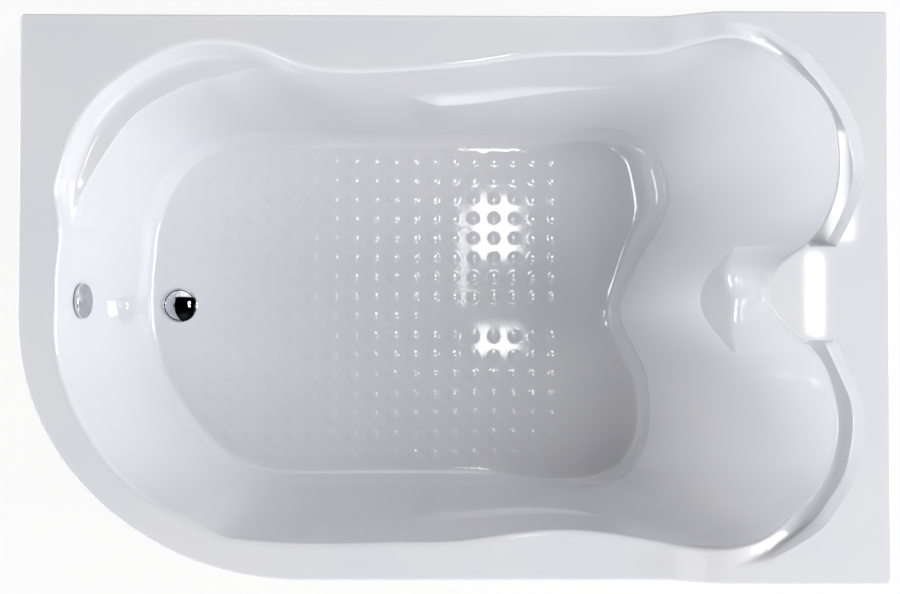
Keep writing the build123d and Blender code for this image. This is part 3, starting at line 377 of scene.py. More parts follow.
@dataclass(frozen=True)
class Chipboard(Finish):
    """Pressed wood chips: flat flakes of mixed browns, matte, with a slightly open surface."""

    dark: str = "#8F7048"
    pale: str = "#CBAE7C"
    chip: float = 7.0
    chip_depth: float = 0.15

    def make(self) -> bpy.types.Material:
        """Builds the material."""
        material, tree, where = self.start()
        stretched = add_node(tree, "ShaderNodeMapping", inputs={"Vector": where, "Scale": (1.0, 2.2, 1.4)})
        chips = add_node(tree, "ShaderNodeTexVoronoi", inputs={
            "Vector": stretched.outputs["Vector"], "Scale": 1 / (self.chip * MM)})
        split = add_node(tree, "ShaderNodeSeparateColor", inputs={"Color": chips.outputs["Color"]})
        tint = Blend(self.dark, self.pale).colour(tree, split.outputs["Red"])
        relief = self.bump(tree, chips.outputs["Distance"], self.chip_depth)
        self.close(tree, {"Base Color": tint, "Normal": relief})
        return material


class Grain(Enum):
    """Which way the wood's fibres run."""

    ALONG_TUB = (0.04, 1.0, 1.0)
    ACROSS_TUB = (1.0, 0.04, 1.0)


@dataclass(frozen=True)
class SawnSpruce(Finish):
    """Sawn spruce: pale early wood and darker late wood in long lines, matte and slightly fuzzy."""

    early: str = "#DCC193"
    late: str = "#B98F58"
    ring: float = 4.0
    ring_depth: float = 0.12
    grain: Grain = Grain.ALONG_TUB

    def make(self) -> bpy.types.Material:
        """Builds the material."""
        material, tree, where = self.start()
        along = add_node(tree, "ShaderNodeMapping", inputs={"Vector": where, "Scale": self.grain.value})
        rings = self.noise(tree, along.outputs["Vector"], self.ring, 3.0)
        tint = Blend(self.late, self.early, 0.38, 0.62).colour(tree, rings)
        self.close(tree, {"Base Color": tint, "Normal": self.bump(tree, rings, self.ring_depth)})
        return material


@dataclass(frozen=True)
class PowderCoat(Finish):
    """Baked powder paint on steel tube: satin grey with the fine peel that the melted powder keeps."""

    colour: str = "#71757A"
    shade: str = "#666A6F"
    peel: float = 1.6
    peel_depth: float = 0.05

    def make(self) -> bpy.types.Material:
        """Builds the material."""
        material, tree, where = self.start()
        tint = Blend(self.shade, self.colour, 0.3, 0.7).colour(tree, self.noise(tree, where, 40.0))
        peel = self.noise(tree, where, self.peel, 1.0)
        self.close(tree, {"Base Color": tint, "Normal": self.bump(tree, peel, self.peel_depth)})
        return material


ACRYLIC = SanitaryAcrylic("sanitary_acrylic", roughness=0.05, ior=1.49)
CHROME = Plated("chrome_plate", roughness=0.04, metallic=1.0)
ZINC = Plated("zinc_plate", roughness=0.28, metallic=1.0, colour="#B9BBBD", shade="#9C9FA3", rougher=0.14)
BRASS = Plated("turned_brass", roughness=0.22, metallic=1.0, colour="#C9A45A", shade="#B08C45", rougher=0.08)
POLYPROPYLENE = Moulded("polypropylene", roughness=0.38, ior=1.49)
RUBBER = Moulded("epdm_rubber", roughness=0.6, ior=1.52, colour="#232324", shade="#1B1B1C", grain_depth=0.06)
POLYAMIDE = Moulded("polyamide", roughness=0.45, ior=1.53, colour="#2A2B2D", shade="#222325")
SHEATH = Moulded("pvc_sheath", roughness=0.4, ior=1.53, colour="#55565A", shade="#4B4C50", grain=1.2)
LAMINATE = ChoppedGlass("glass_fibre_laminate", roughness=0.34, ior=1.55)
BOARD = Chipboard("chipboard", roughness=0.75)
SPRUCE_ALONG = SawnSpruce("sawn_spruce_along", roughness=0.7)
SPRUCE_ACROSS = SawnSpruce("sawn_spruce_across", roughness=0.7, grain=Grain.ACROSS_TUB)
PAINT = PowderCoat("powder_coat", roughness=0.42)


def make_once(finish: Finish) -> bpy.types.Material:
    """The finish's material, built the first time that it is asked for."""
    return bpy.data.materials.get(finish.name) or finish.make()


def dress(piece: bpy.types.Object, finish: Finish) -> None:
    """Puts a finish on a piece and reports it."""
    piece.data.materials.clear()
    piece.data.materials.append(make_once(finish))
    LOG.info("%s: %s", piece.name, finish.name)


@dataclass
class Net:
    """Points and faces of a mesh that is being made."""

    points: list[np.ndarray] = field(default_factory=list)
    faces: list[tuple[int, ...]] = field(default_factory=list)
    count: int = 0

    def add(self, points: np.ndarray) -> np.ndarray:
        """Adds points and gives back their numbers."""
        numbers = np.arange(self.count, self.count + len(points))
        self.points.append(np.asarray(points, float))
        self.count += len(points)
        return numbers

    def band(self, one: np.ndarray, other: np.ndarray) -> None:
        """Quads between two closed loops of as many points."""
        one_after = np.roll(one, -1)
        other_after = np.roll(other, -1)
        self.faces += list(zip(one.tolist(), other.tolist(), other_after.tolist(), one_after.tolist()))

    def cap(self, loop: np.ndarray, middle: int) -> None:
        """Triangles from a closed loop to one point."""
        after = np.roll(loop, -1)
        self.faces += [(b, a, middle) for a, b in zip(loop.tolist(), after.tolist())]

    def all_points(self) -> np.ndarray:
        """All points in one array."""
        return np.vstack(self.points)

    def normals(self) -> np.ndarray:
        """Normal at each point, weighted by the area of its faces."""
        points = self.all_points()
        found = np.zeros_like(points)
        for size in (3, 4):
            faces = np.array([face for face in self.faces if len(face) == size])
            if not len(faces):
                continue
            first = points[faces[:, 2]] - points[faces[:, 0]]
            second = points[faces[:, size - 1]] - points[faces[:, 1]]
            across = np.cross(first, second) if size == 4 else np.cross(
                points[faces[:, 1]] - points[faces[:, 0]], first)
            for corner in range(size):
                np.add.at(found, faces[:, corner], across)
        return unit(found)

    def piece(self, name: str) -> bpy.types.Object:
        """Makes the object, shaded smooth but for its sharp edges."""
        mesh = bpy.data.meshes.new(name)
        mesh.from_pydata(self.all_points().tolist(), [], self.faces)
        mesh.validate()
        mesh.shade_smooth()
        mesh.set_sharp_from_angle(angle=math.radians(38))
        piece = bpy.data.objects.new(name, mesh)
        bpy.context.scene.collection.objects.link(piece)
        return piece


@dataclass(frozen=True)
class Fineness:
    """How finely a sheet is meshed, in metres and in steps."""

    around: float
    around_detail: float
    flat: float
    round_steps: int
    wall_steps: int
    cove_steps: int
    studs: bool
    least_round: float


FINE = Fineness(0.006, 0.0015, 0.010, 5, 5, 10, True, 0.0)
COARSE = Fineness(0.010, 0.004, 0.020, 3, 3, 5, False, 0.009)


@dataclass
class TubShape:
    """The tub's formed surface, as worked out from its stations and driving sizes."""

    length: float = CAD_BOX[1][0] - CAD_BOX[0][0]
    width: float = CAD_BOX[1][1] - CAD_BOX[0][1]
    head_rise: float = 50 * MM
    depth: float = 430 * MM
    cove_height: float = 60 * MM
    firm_cove_start: float = 300 * MM
    firm_cove_end: float = 450 * MM
    corner_depth: float = 50 * MM
    corner_step: float = 7 * MM
    corner_shelf: float = 53 * MM
    corner_fillet: float = 28 * MM
    corner_bearings: tuple[float, float] = (10.5, 57.0)
    corner_eases: tuple[float, float] = (15.0, 14.0)
    armrest_depth: float = 150 * MM
    armrest_step: float = 15 * MM
    armrest_foot_end: float = -95 * MM
    armrest_foot_ease: float = 80 * MM
    back_armrest: float = 20 * MM
    back_armrest_end: float = 420 * MM
    back_armrest_ease: float = 420 * MM
    front_armrest: float = 10 * MM
    front_armrest_end: float = 400 * MM
    front_armrest_ease: float = 80 * MM
    spine_shelf: float = 80 * MM
    spine_half_width: float = 104 * MM
    spine_softness: float = 12 * MM
    armrest_fillet: float = 10 * MM
    spine_fillet: float = 20 * MM
    least_step: float = 0.12
    flare: float = 1.12
    ramp_start: float = 450 * MM
    ramp_end: float = 315 * MM
    ledge_dip: float = 38 * MM
    ledge_start: float = 320 * MM
    ledge_end: float = 150 * MM
    ledge_round: float = 13 * MM
    tongue_back: float = 95 * MM
    tongue_front: float = -85 * MM
    tongue_steepness: float = 2.0
    lip_round: float = 11 * MM
    head_lip_round: float = 4.5 * MM
    sweep_x: float = 560 * MM
    sweep_y: float = 512 * MM
    corner_radius: float = 10 * MM
    edge_round: float = 4 * MM
    skirt_drop: float = 40 * MM
    sheet: float = 5 * MM

    def __post_init__(self) -> None:
        """Works out the heights and the splines' marks."""
        self.rim = CAD_BOX[1][2] - self.head_rise
        self.wall_height = self.depth - self.cove_height
        rows = []
        for table, end, side in ((FOOT_BACK, -1, 1), (HEAD_BACK, 1, 1), (HEAD_FRONT, 1, -1), (FOOT_FRONT, -1, -1)):
            for rim_x, rim_y, foot_x, foot_y, cove in table:
                rows.append((*self.place(rim_x, rim_y, end, side), *self.place(foot_x, foot_y, end, side), cove * MM))
        self.rows = np.array(rows)
        gaps = np.linalg.norm(np.roll(self.rows, -1, axis=0)[:, :2] - self.rows[:, :2], axis=1)
        self.marks = np.concatenate([[0.0], np.cumsum(gaps)])
        self.ledges = [self.ledge_curve(BACK_LEDGE, 1), self.ledge_curve(FRONT_LEDGE, -1)]

    def place(self, from_end: float, from_side: float, end: int, side: int) -> tuple[float, float]:
        """Plan point in metres, from millimetres off an end and a side."""
        return end * (self.length / 2 - from_end * MM), side * (self.width / 2 - from_side * MM)

    def ledge_curve(self, table: list[tuple[float, float]], side: int) -> np.ndarray:
        """Outer edge of a headrest ledge as closely spaced plan points."""
        points = np.array([self.place(x, y, 1, side) for x, y in table])
        return open_spline(points, 2.5 * MM)

    def ledge_depth(self, plan: np.ndarray) -> np.ndarray:
        """How far into the nearest headrest ledge each plan point lies, negative outside."""
        depth = np.full(len(plan), -1.0)
        walls = (plan[:, 1] - self.tongue_back, (self.tongue_front - plan[:, 1]) * self.tongue_steepness)
        for curve, wall in zip(self.ledges, walls):
            near = (plan[:, 0] > self.length / 2 - self.ledge_start - 0.02) & (wall > -0.02)
            picked = np.flatnonzero(near)
            if not len(picked):
                continue
            gaps = np.linalg.norm(plan[picked][:, None, :] - curve[None, :, :], axis=2)
            nearest = gaps.argmin(axis=1)
            after = np.minimum(nearest + 1, len(curve) - 1)
            before = np.maximum(nearest - 1, 0)
            along = unit(curve[after] - curve[before])
            away = plan[picked] - curve[nearest]
            signed = along[:, 1] * away[:, 0] - along[:, 0] * away[:, 1]
            depth[picked] = np.maximum(depth[picked], np.minimum(signed, wall[picked]))
        return depth

    def rise(self, plan: np.ndarray, round_factor: float = 1.0) -> np.ndarray:
        """Height of the deck above the rim at plan points."""
        along = plan[:, 0]
        start = self.length / 2 - self.ramp_start
        head = self.head_rise * smooth((along - start) / (self.ramp_start - self.ramp_end))
        dip_start = self.length / 2 - self.ledge_start
        dip = self.ledge_dip * smooth((along - dip_start) / (self.ledge_start - self.ledge_end))
        return head - dip * smooth(self.ledge_depth(plan) / (self.ledge_round * round_factor))

    def samples(self, fineness: Fineness) -> dict[str, np.ndarray]:
        """Reads the stations' splines at a closed row of samples, closer by the tongue's end walls.

        Args:
            fineness: How closely to sample.

        Returns:
            Rim, foot, outward normal and cove width at each sample.
        """
        trial = np.linspace(0, self.marks[-1], 6001)
        read = closed_spline(self.marks, self.rows, trial[:-1])
        ends = np.minimum(abs(read[:, 1] - self.tongue_back - 6 * MM), abs(read[:, 1] - self.tongue_front + 4 * MM))
        spine = abs(read[:, 1]) < 12 * MM
        close = (read[:, 0] > 0.45) & ((ends < 16 * MM) | spine)
        density = np.where(close, 1 / fineness.around_detail, 1 / fineness.around)
        density = np.convolve(np.concatenate([density[-20:], density, density[:20]]), np.ones(41) / 41, "valid")
        total = np.concatenate([[0.0], np.cumsum(density * np.diff(trial))])
        count = int(total[-1])
        at = np.interp(np.arange(count) * total[-1] / count, total, trial)
        read = closed_spline(self.marks, self.rows, at)
        rim = read[:, :2]
        along = unit(np.roll(rim, -1, axis=0) - np.roll(rim, 1, axis=0))
        outward = np.stack([-along[:, 1], along[:, 0]], axis=1)
        return {"rim": rim, "foot": read[:, 2:4], "cove": read[:, 4], "outward": outward}

    def corner_width(self, rim: np.ndarray) -> np.ndarray:
        """Width of the corner shelf at each point of the rim."""
        bearing = np.degrees(np.arctan2(rim[:, 1], -rim[:, 0]))
        low, high = self.corner_bearings
        first, last = self.corner_eases
        growing = np.sin(math.pi / 2 * np.clip((bearing - low) / first, 0, 1))
        return self.corner_shelf * growing * smooth((high - bearing) / last)

    def armrest_share(self, rim: np.ndarray) -> np.ndarray:
        """How much of its full width the armrest has at each point of the rim."""
        back = rim[:, 1] > 0
        end = np.where(back, self.back_armrest_end, self.front_armrest_end)
        ease = np.where(back, self.back_armrest_ease, self.front_armrest_ease)
        rise = np.clip((rim[:, 0] - self.armrest_foot_end) / self.armrest_foot_ease, 0, 1)
        fall = np.clip((end - rim[:, 0]) / ease, 0, 1)
        return (1 - np.cos(math.pi * np.minimum(rise, fall))) / 2

    def spine_share(self, rim: np.ndarray) -> np.ndarray:
        """How much of its full width the spine's shelf has at each point of the rim."""
        beside = np.hypot(rim[:, 1], self.spine_softness)
        return np.maximum(1 - beside / self.spine_half_width, 0) * (rim[:, 0] > 0)

    def run(self, found: dict[str, np.ndarray], depth: np.ndarray, shelf: bool, ledge: bool) -> np.ndarray:
        """How far in from the rim the wall stands at a depth.

        Args:
            found: The samples.
            depth: Depth of each sample below the rim.
            shelf: Whether the depth is below the corner shelf's edge.
            ledge: Whether the depth is below the armrests' edge.

        Returns:
            Distance from the rim towards the wall's foot at each sample.
        """
        rim, reach = found["rim"], np.linalg.norm(found["foot"] - found["rim"], axis=1)
        run = reach * np.maximum(depth / self.wall_height, 0.0) ** self.flare
        if shelf:
            below = self.corner_depth + self.corner_step
            run += self.corner_width(rim) * (self.wall_height - depth) / (self.wall_height - below)
        if ledge:
            below = self.armrest_depth + self.armrest_step
            width = np.where(rim[:, 1] > 0, self.back_armrest, self.front_armrest)
            return run + width * self.armrest_share(rim) * (self.wall_height - depth) / (self.wall_height - below)
        return run - self.spine_shelf * self.spine_share(rim) * np.clip(depth / self.armrest_depth, 0.0, 1.0)

    def rings(self, fineness: Fineness) -> list[np.ndarray]:
        """Closed rings of points from the deck over the lip and down the wall to the floor.

        Args:
            fineness: How closely to place samples and rings.

        Returns:
            Rings of as many points each, from the outside in.
        """
        found = self.samples(fineness)
        rim, outward = found["rim"], found["outward"]
        reach = np.linalg.norm(found["foot"] - rim, axis=1)
        inward = unit(found["foot"] - rim)
        head = smooth((rim[:, 0] - 0.48) / 0.10)
        lip = self.lip_round + (self.head_lip_round - self.lip_round) * head
        lip = np.maximum(lip, fineness.least_round * 0.9)
        plan = rim + outward * lip[:, None] * 1.05
        rise = self.rise(plan)
        edge = np.column_stack([plan, self.rim + rise])
        corner = np.column_stack([rim, self.rim + rise])

        def wall(depth: np.ndarray, shelf: bool, ledge: bool) -> np.ndarray:
            """Points of the wall at a depth."""
            depth = np.broadcast_to(depth, rise.shape)
            place = rim + inward * self.run(found, depth, shelf, ledge)[:, None]
            return np.column_stack([place, self.rim - depth])

        def between(start: np.ndarray, end: np.ndarray | float, shelf: bool, ledge: bool) -> list[tuple]:
            """Plain wall rings between two depths."""
            shares = np.arange(1, fineness.wall_steps) / fineness.wall_steps
            return [(wall(start + (end - start) * share, shelf, ledge), 0.0, 0.48) for share in shares]

        least = fineness.least_round
        below_corner = self.corner_depth + self.corner_step
        below_armrest = self.armrest_depth + self.armrest_step
        spine = self.spine_share(rim)
        fillet = self.armrest_fillet + self.spine_fillet * spine
        shelf_share = np.maximum(np.maximum(self.armrest_share(rim), spine), self.least_step)
        armrest = below_armrest - self.armrest_step * shelf_share
        keys = [(edge, 0.0, 0.48), (corner, lip, 1.0)]
        keys += between(-rise + 1.3 * lip, self.corner_depth - self.corner_fillet, False, False)
        keys.append((wall(self.corner_depth, False, False), self.corner_fillet, 0.9))
        keys.append((wall(below_corner, True, False), max(3 * MM, least), 0.48))
        keys += between(np.full_like(rise, below_corner), armrest - fillet, True, False)
        keys.append((wall(armrest, True, False), np.maximum(fillet, least), 0.9))
        keys.append((wall(below_armrest, True, True), max(2.5 * MM, least), 0.48))
        keys += between(np.full_like(rise, below_armrest), self.wall_height, True, True)
        keys.append((wall(self.wall_height, True, True), max(7 * MM, least), 0.48))
        firm = smooth((rim[:, 0] - self.firm_cove_start) / (self.firm_cove_end - self.firm_cove_start))
        meet = reach * self.flare * self.cove_height / self.wall_height
        for step in range(1, fineness.cove_steps + 1):
            part = step / fineness.cove_steps
            angle = math.pi / 2 * part
            soft_run = meet * 2 * part * (1 - part) + found["cove"] * part ** 2
            soft_drop = part * (2 - part)
            run = soft_run + (found["cove"] * (1 - math.cos(angle)) - soft_run) * firm
            drop = soft_drop + (math.sin(angle) - soft_drop) * firm
            place = rim + inward * (reach + run)[:, None]
            keys.append((np.column_stack([place, self.rim - self.wall_height - self.cove_height * drop]), 0.0, 0.48))
        return self.rounded(keys, fineness.round_steps)

    def rounded(self, keys: list[tuple], steps: int) -> list[np.ndarray]:
        """Rounds the corners between key rings.

        Args:
            keys: Ring, radius of its rounding, and the share of the ring before it that this may take.
            steps: How many steps a rounding takes.

        Returns:
            All rings, in order.
        """
        rings = []
        for index, (ring, radius, share) in enumerate(keys):
            if np.all(np.asarray(radius) == 0):
                rings.append(ring)
                continue
            back = keys[index - 1][0] - ring
            ahead = keys[index + 1][0] - ring
            back_length = np.maximum(np.linalg.norm(back, axis=1), 1e-9)
            ahead_length = np.maximum(np.linalg.norm(ahead, axis=1), 1e-9)
            start = ring + back * np.minimum(radius / back_length, 0.95 * share)[:, None]
            end = ring + ahead * np.minimum(radius / ahead_length, 0.48)[:, None]
            for step in range(steps + 1):
                part = step / steps
                rings.append(start * (1 - part) ** 2 + ring * 2 * part * (1 - part) + end * part ** 2)
        return rings

    def outline(self) -> tuple[np.ndarray, np.ndarray]:
        """Plan outline of the tub, walked clockwise as seen from above, with its outward normals."""
        half_x, half_y, radius = self.length / 2, self.width / 2, self.corner_radius
        points, normals = [], []

        def arc(middle: tuple[float, float], radii: tuple[float, float], start: float, end: float, steps: int) -> None:
            """Adds an elliptical arc between two angles."""
            for step in range(steps + 1):
                angle = math.radians(start + (end - start) * step / steps)
                points.append((middle[0] + radii[0] * math.cos(angle), middle[1] + radii[1] * math.sin(angle)))
                normals.append((math.cos(angle) / radii[0], math.sin(angle) / radii[1]))

        def side(end: tuple[float, float], normal: tuple[float, float]) -> None:
            """Adds a straight side up to a point."""
            start = np.array(points[-1])
            steps = max(int(np.linalg.norm(np.array(end) - start) / (10 * MM)), 1)
            for step in range(1, steps):
                points.append(tuple(start + (np.array(end) - start) * step / steps))
                normals.append(normal)

        round_corner = (radius, radius)
        arc((-half_x + self.sweep_x, -half_y + self.sweep_y), (self.sweep_x, self.sweep_y), 270, 180, 90)
        side((-half_x, half_y - radius), (-1.0, 0.0))
        arc((-half_x + radius, half_y - radius), round_corner, 180, 90, 8)
        side((half_x - radius, half_y), (0.0, 1.0))
        arc((half_x - radius, half_y - radius), round_corner, 90, 0, 8)
        side((half_x, -half_y + radius), (1.0, 0.0))
        arc((half_x - radius, -half_y + radius), round_corner, 0, -90, 8)
        side((-half_x + self.sweep_x, -half_y), (0.0, -1.0))
        return np.array(points), unit(np.array(normals))


@dataclass
class WasteHoles:
    """The round holes for the drain and the overflow, placed from the frame."""

    radius: float = 25 * MM
    reach: float = 40 * MM
    segments: int = 96

    def __post_init__(self) -> None:
        """Reads the drain's place and the overflow's axis from the frame."""
        low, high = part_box("drain_flange")
        self.drain = Vector(((low[0] + high[0]) / 2, (low[1] + high[1]) / 2, high[2] - 2.5 * MM))
        joint = next(joint for joint in frame["joints"] if joint["name"] == "overflow_turn")
        self.overflow = Vector(joint["pos_m"])
        self.axis = Vector(joint["axis"]).normalized()

    def cutter(self, place: Vector, axis: Vector) -> bpy.types.Object:
        """A round cutter through the sheet at a place."""
        side = axis.orthogonal().normalized()
        other = axis.cross(side)
        net = Net()
        loops = []
        for level in (-self.reach, self.reach):
            turn = np.arange(self.segments) * 2 * math.pi / self.segments
            ring = (np.outer(np.cos(turn), side) + np.outer(np.sin(turn), other)) * self.radius
            loops.append(net.add(ring + np.array(place + axis * level)))
        net.band(loops[1], loops[0])
        net.faces.append(tuple(reversed(loops[0].tolist())))
        net.faces.append(tuple(loops[1].tolist()))
        return net.piece("waste_cutter")

    def cut(self, piece: bpy.types.Object) -> None:
        """Cuts both holes through a piece."""
        cutters = [self.cutter(self.drain, Vector((0, 0, 1))), self.cutter(self.overflow, self.axis)]
        for cutter in cutters:
            boolean = piece.modifiers.new("hole", "BOOLEAN")
            boolean.operation = "DIFFERENCE"
            boolean.solver = "MANIFOLD"
            boolean.object = cutter
        bpy.context.view_layer.update()
        graph = bpy.context.evaluated_depsgraph_get()
        cut = bpy.data.meshes.new_from_object(piece.evaluated_get(graph), depsgraph=graph)
        piece.modifiers.clear()
        piece.data = cut
        for cutter in cutters:
            bpy.data.objects.remove(cutter)


WASTE = WasteHoles()


@dataclass
class FormedSheet:
    """The acrylic sheet: one closed mesh of the tub's surface and its underside, with both waste holes."""

    shape: TubShape
    stud_radius: float = 18 * MM
    stud_profile: tuple[tuple[float, float], ...] = (
        (1.0, 0.0), (0.9, 0.01), (0.8, 0.06), (0.7, 0.22), (0.6, 0.46), (0.48, 0.66), (0.34, 0.8), (0.2, 0.9),
        (0.1, 0.98))
    stud_height: float = 0.9 * MM
    stud_segments: int = 20
    first_stud: tuple[float, float] = (-534.5 * MM, 321 * MM)
    stud_pitch: tuple[float, float] = (45.4 * MM, 44.2 * MM)
    stud_columns: int = 18
    stud_rows: int = 16
    bare_row: int = 8
    bare_from_column: int = 11
    stud_margin: float = 23 * MM
    drain_margin: float = 95 * MM
    crease_half_width: float = 14 * MM
    crease_depth: float = 1.0 * MM
    crease_start: float = 150 * MM
    crease_ease: float = 120 * MM

    def stud_places(self, floor: np.ndarray) -> np.ndarray:
        """Plan points of the anti-slip studs that lie well within the floor's edge."""
        places = []
        for row in range(self.stud_rows):
            columns = self.bare_from_column if row == self.bare_row else self.stud_columns
            for column in range(columns):
                places.append((self.first_stud[0] + column * self.stud_pitch[0],
                               self.first_stud[1] - row * self.stud_pitch[1]))
        places = np.array(places)
        gaps = np.linalg.norm(places[:, None, :] - floor[None, :, :2], axis=2).min(axis=1)
        drain = np.linalg.norm(places - np.array(WASTE.drain)[:2], axis=1)
        return places[inside(places, floor[:, :2]) & (gaps > self.stud_margin) & (drain > self.drain_margin)]

    def floor_height(self, plan: np.ndarray) -> np.ndarray:
        """Height of the floor: flat but for the shallow crease towards the spine."""
        middle = self.first_stud[1] - self.bare_row * self.stud_pitch[1]
        across = np.clip(abs(plan[:, 1] - middle) / self.crease_half_width, 0, 1)
        along = smooth((plan[:, 0] - self.crease_start) / self.crease_ease)
        dip = self.crease_depth * (1 - smooth(across)) * along
        return self.shape.rim - self.shape.depth - dip

    def fill(self, net: Net, loops: list[np.ndarray], holes: list[np.ndarray], lines: list[np.ndarray],
             spacing: float, height: Callable[[np.ndarray], np.ndarray]) -> None:
        """Fills the area within the first loop and outside the others with triangles.

        Args:
            net: The mesh to add to.
            loops: Numbers of the points of each closed loop, the outer one first.
            holes: Plan points of the loops that are left open.
            lines: Open lines of plan points that edges follow.
            spacing: Distance between the points inside.
            height: Gives the height at plan points.
        """
        known = net.all_points()
        plan = [known[loop][:, :2] for loop in loops]
        numbers = list(np.concatenate(loops))
        edges, start = [], 0
        for loop in plan:
            edges += [(start + step, start + (step + 1) % len(loop)) for step in range(len(loop))]
            start += len(loop)
        for line in lines:
            edges += [(start + step, start + step + 1) for step in range(len(line) - 1)]
            start += len(line)
        tree = KDTree(start)
        fixed = np.vstack(plan + [line[:, :2] for line in lines])
        for number, (x, y) in enumerate(fixed):
            tree.insert((x, y, 0), number)
        tree.balance()
        low, high = plan[0].min(axis=0), plan[0].max(axis=0)
        steps = ((high - low) / spacing).astype(int) + 1
        grid = np.array([(low[0] + (column + 0.5 * (row % 2)) * spacing, low[1] + row * spacing)
                         for column in range(steps[0]) for row in range(steps[1])])
        kept = inside(grid, plan[0])
        for hole in holes:
            kept &= ~inside(grid, hole)
        grid = grid[kept]
        clear = [tree.find((x, y, 0))[2] > 0.55 * spacing for x, y in grid]
        grid = grid[np.array(clear)]
        corners = [Vector(point) for point in np.vstack([fixed, grid]).tolist()]
        found, _, faces, origins, _, _ = delaunay_2d_cdt(corners, edges, [], 0, 1e-7)
        fresh = np.array([(point.x, point.y) for point in found])
        names = np.full(len(fresh), -1)
        for place, origin in enumerate(origins):
            known_names = [number for number in origin if number < len(numbers)]
            if known_names:
                names[place] = numbers[known_names[0]]
        new = np.flatnonzero(names < 0)
        names[new] = net.add(np.column_stack([fresh[new], height(fresh[new])]))
        middles = np.array([fresh[list(face)].mean(axis=0) for face in faces])
        kept = inside(middles, plan[0])
        for hole in holes:
            kept &= ~inside(middles, hole)
        for keep, face in zip(kept, faces):
            if keep:
                net.faces.append(tuple(int(names[corner]) for corner in face))

    def ledge_lines(self, lip: np.ndarray, edge: np.ndarray) -> list[np.ndarray]:
        """Lines that follow the steps of the headrest ledges, kept clear of the lip and the outer edge."""
        shape = self.shape
        lines = []
        offsets = np.linspace(0, shape.ledge_round, 6)
        for curve in shape.ledges:
            along = unit(np.gradient(curve, axis=0))
            into = np.stack([along[:, 1], -along[:, 0]], axis=1)
            lines += [curve + into * offset for offset in offsets]
        inner = np.arange(0.55, 0.80, 2.5 * MM)
        for offset in offsets:
            lines.append(np.column_stack([inner, np.full(len(inner), shape.tongue_back + offset)]))
            offset /= shape.tongue_steepness
            lines.append(np.column_stack([inner, np.full(len(inner), shape.tongue_front - offset)]))
        kept = []
        for number, line in enumerate(lines):
            good = ~inside(line, lip) & inside(line, edge)
            for loop in (lip, edge):
                good &= np.linalg.norm(line[:, None, :] - loop[None, :, :], axis=2).min(axis=1) > 2.2 * MM
            if number < 2 * len(offsets):
                good &= (line[:, 1] > shape.tongue_back) | (line[:, 1] < shape.tongue_front)
            else:
                good &= shape.ledge_depth(line + [0, 1e-6]) > -1.0
                side = shape.ledges[0] if line[0, 1] > 0 else shape.ledges[1]
                reach = side[np.abs(side[:, 1] - line[0, 1]).argmin(), 0]
                good &= line[:, 0] < reach - 1 * MM
            breaks = np.flatnonzero(np.diff(good.astype(int)))
            for part in np.split(np.arange(len(line)), breaks + 1):
                if good[part[0]] and len(part) > 1:
                    kept.append(line[part])
        return kept

    def surface(self, fineness: Fineness, round_factor: float) -> tuple[Net, np.ndarray]:
        """One side of the sheet.

        Args:
            fineness: How finely to mesh it.
            round_factor: How much wider than real the ledges' steps are.

        Returns:
            The mesh, and the numbers of the skirt's lowest loop.
        """
        shape = self.shape
        net = Net()
        plan, outward = shape.outline()
        inner = plan - outward * shape.edge_round
        top = shape.rim + shape.rise(inner, round_factor)
        skirt_low = shape.rim - shape.skirt_drop
        loops = []
        for share in (0.0, 0.33, 0.66):
            height = skirt_low + (top - shape.edge_round - skirt_low) * share
            loops.append(net.add(np.column_stack([plan, height])))
        for step in range(5):
            angle = math.pi / 2 * step / 4
            place = plan - outward * shape.edge_round * (1 - math.cos(angle))
            loops.append(net.add(np.column_stack([place, top - shape.edge_round * (1 - math.sin(angle))])))
        for one, other in zip(loops, loops[1:]):
            net.band(one, other)
        rings = [net.add(ring) for ring in shape.rings(fineness)]
        for one, other in zip(rings, rings[1:]):
            net.band(one, other)
        points = net.all_points()
        lip, edge = points[rings[0]][:, :2], points[loops[-1]][:, :2]
        lines = self.ledge_lines(lip, edge)
        self.fill(net, [loops[-1], rings[0]], [lip], lines, fineness.flat,
                  lambda spots: shape.rim + shape.rise(spots, round_factor))
        self.fill_floor(net, rings[-1], fineness)
        return net, loops[0]

    def fill_floor(self, net: Net, ring: np.ndarray, fineness: Fineness) -> None:
        """Adds the floor inside its ring, with the studs where the mesh is fine."""
        floor = net.all_points()[ring]
        middle = self.first_stud[1] - self.bare_row * self.stud_pitch[1]
        along = np.arange(self.crease_start, floor[:, 0].max(), 8 * MM)
        lines = []
        for share in (-1.0, -0.5, 0.0, 0.5, 1.0):
            line = np.column_stack([along, np.full(len(along), middle + share * self.crease_half_width)])
            far = np.linalg.norm(line[:, None, :] - floor[None, :, :2], axis=2).min(axis=1) > 8 * MM
            lines.append(line[inside(line, floor[:, :2]) & far])
        loops, holes = [ring], []
        if fineness.studs:
            turn = np.arange(self.stud_segments) * 2 * math.pi / self.stud_segments
            circle = np.column_stack([np.cos(-turn), np.sin(-turn)])
            for place in self.stud_places(floor):
                stud = []
                for share, height in self.stud_profile:
                    spot = place + circle * self.stud_radius * share
                    level = self.shape.rim - self.shape.depth + self.stud_height * height
                    stud.append(net.add(np.column_stack([spot, np.full(len(spot), level)])))
                for one, other in zip(stud, stud[1:]):
                    net.band(one, other)
                peak = self.shape.rim - self.shape.depth + self.stud_height
                net.cap(stud[-1], int(net.add(np.array([[*place, peak]]))[0]))
                loops.append(stud[0])
                holes.append(place + circle * self.stud_radius)
        spacing = fineness.flat * 1.3
        self.fill(net, loops, holes, lines, spacing, self.floor_height)

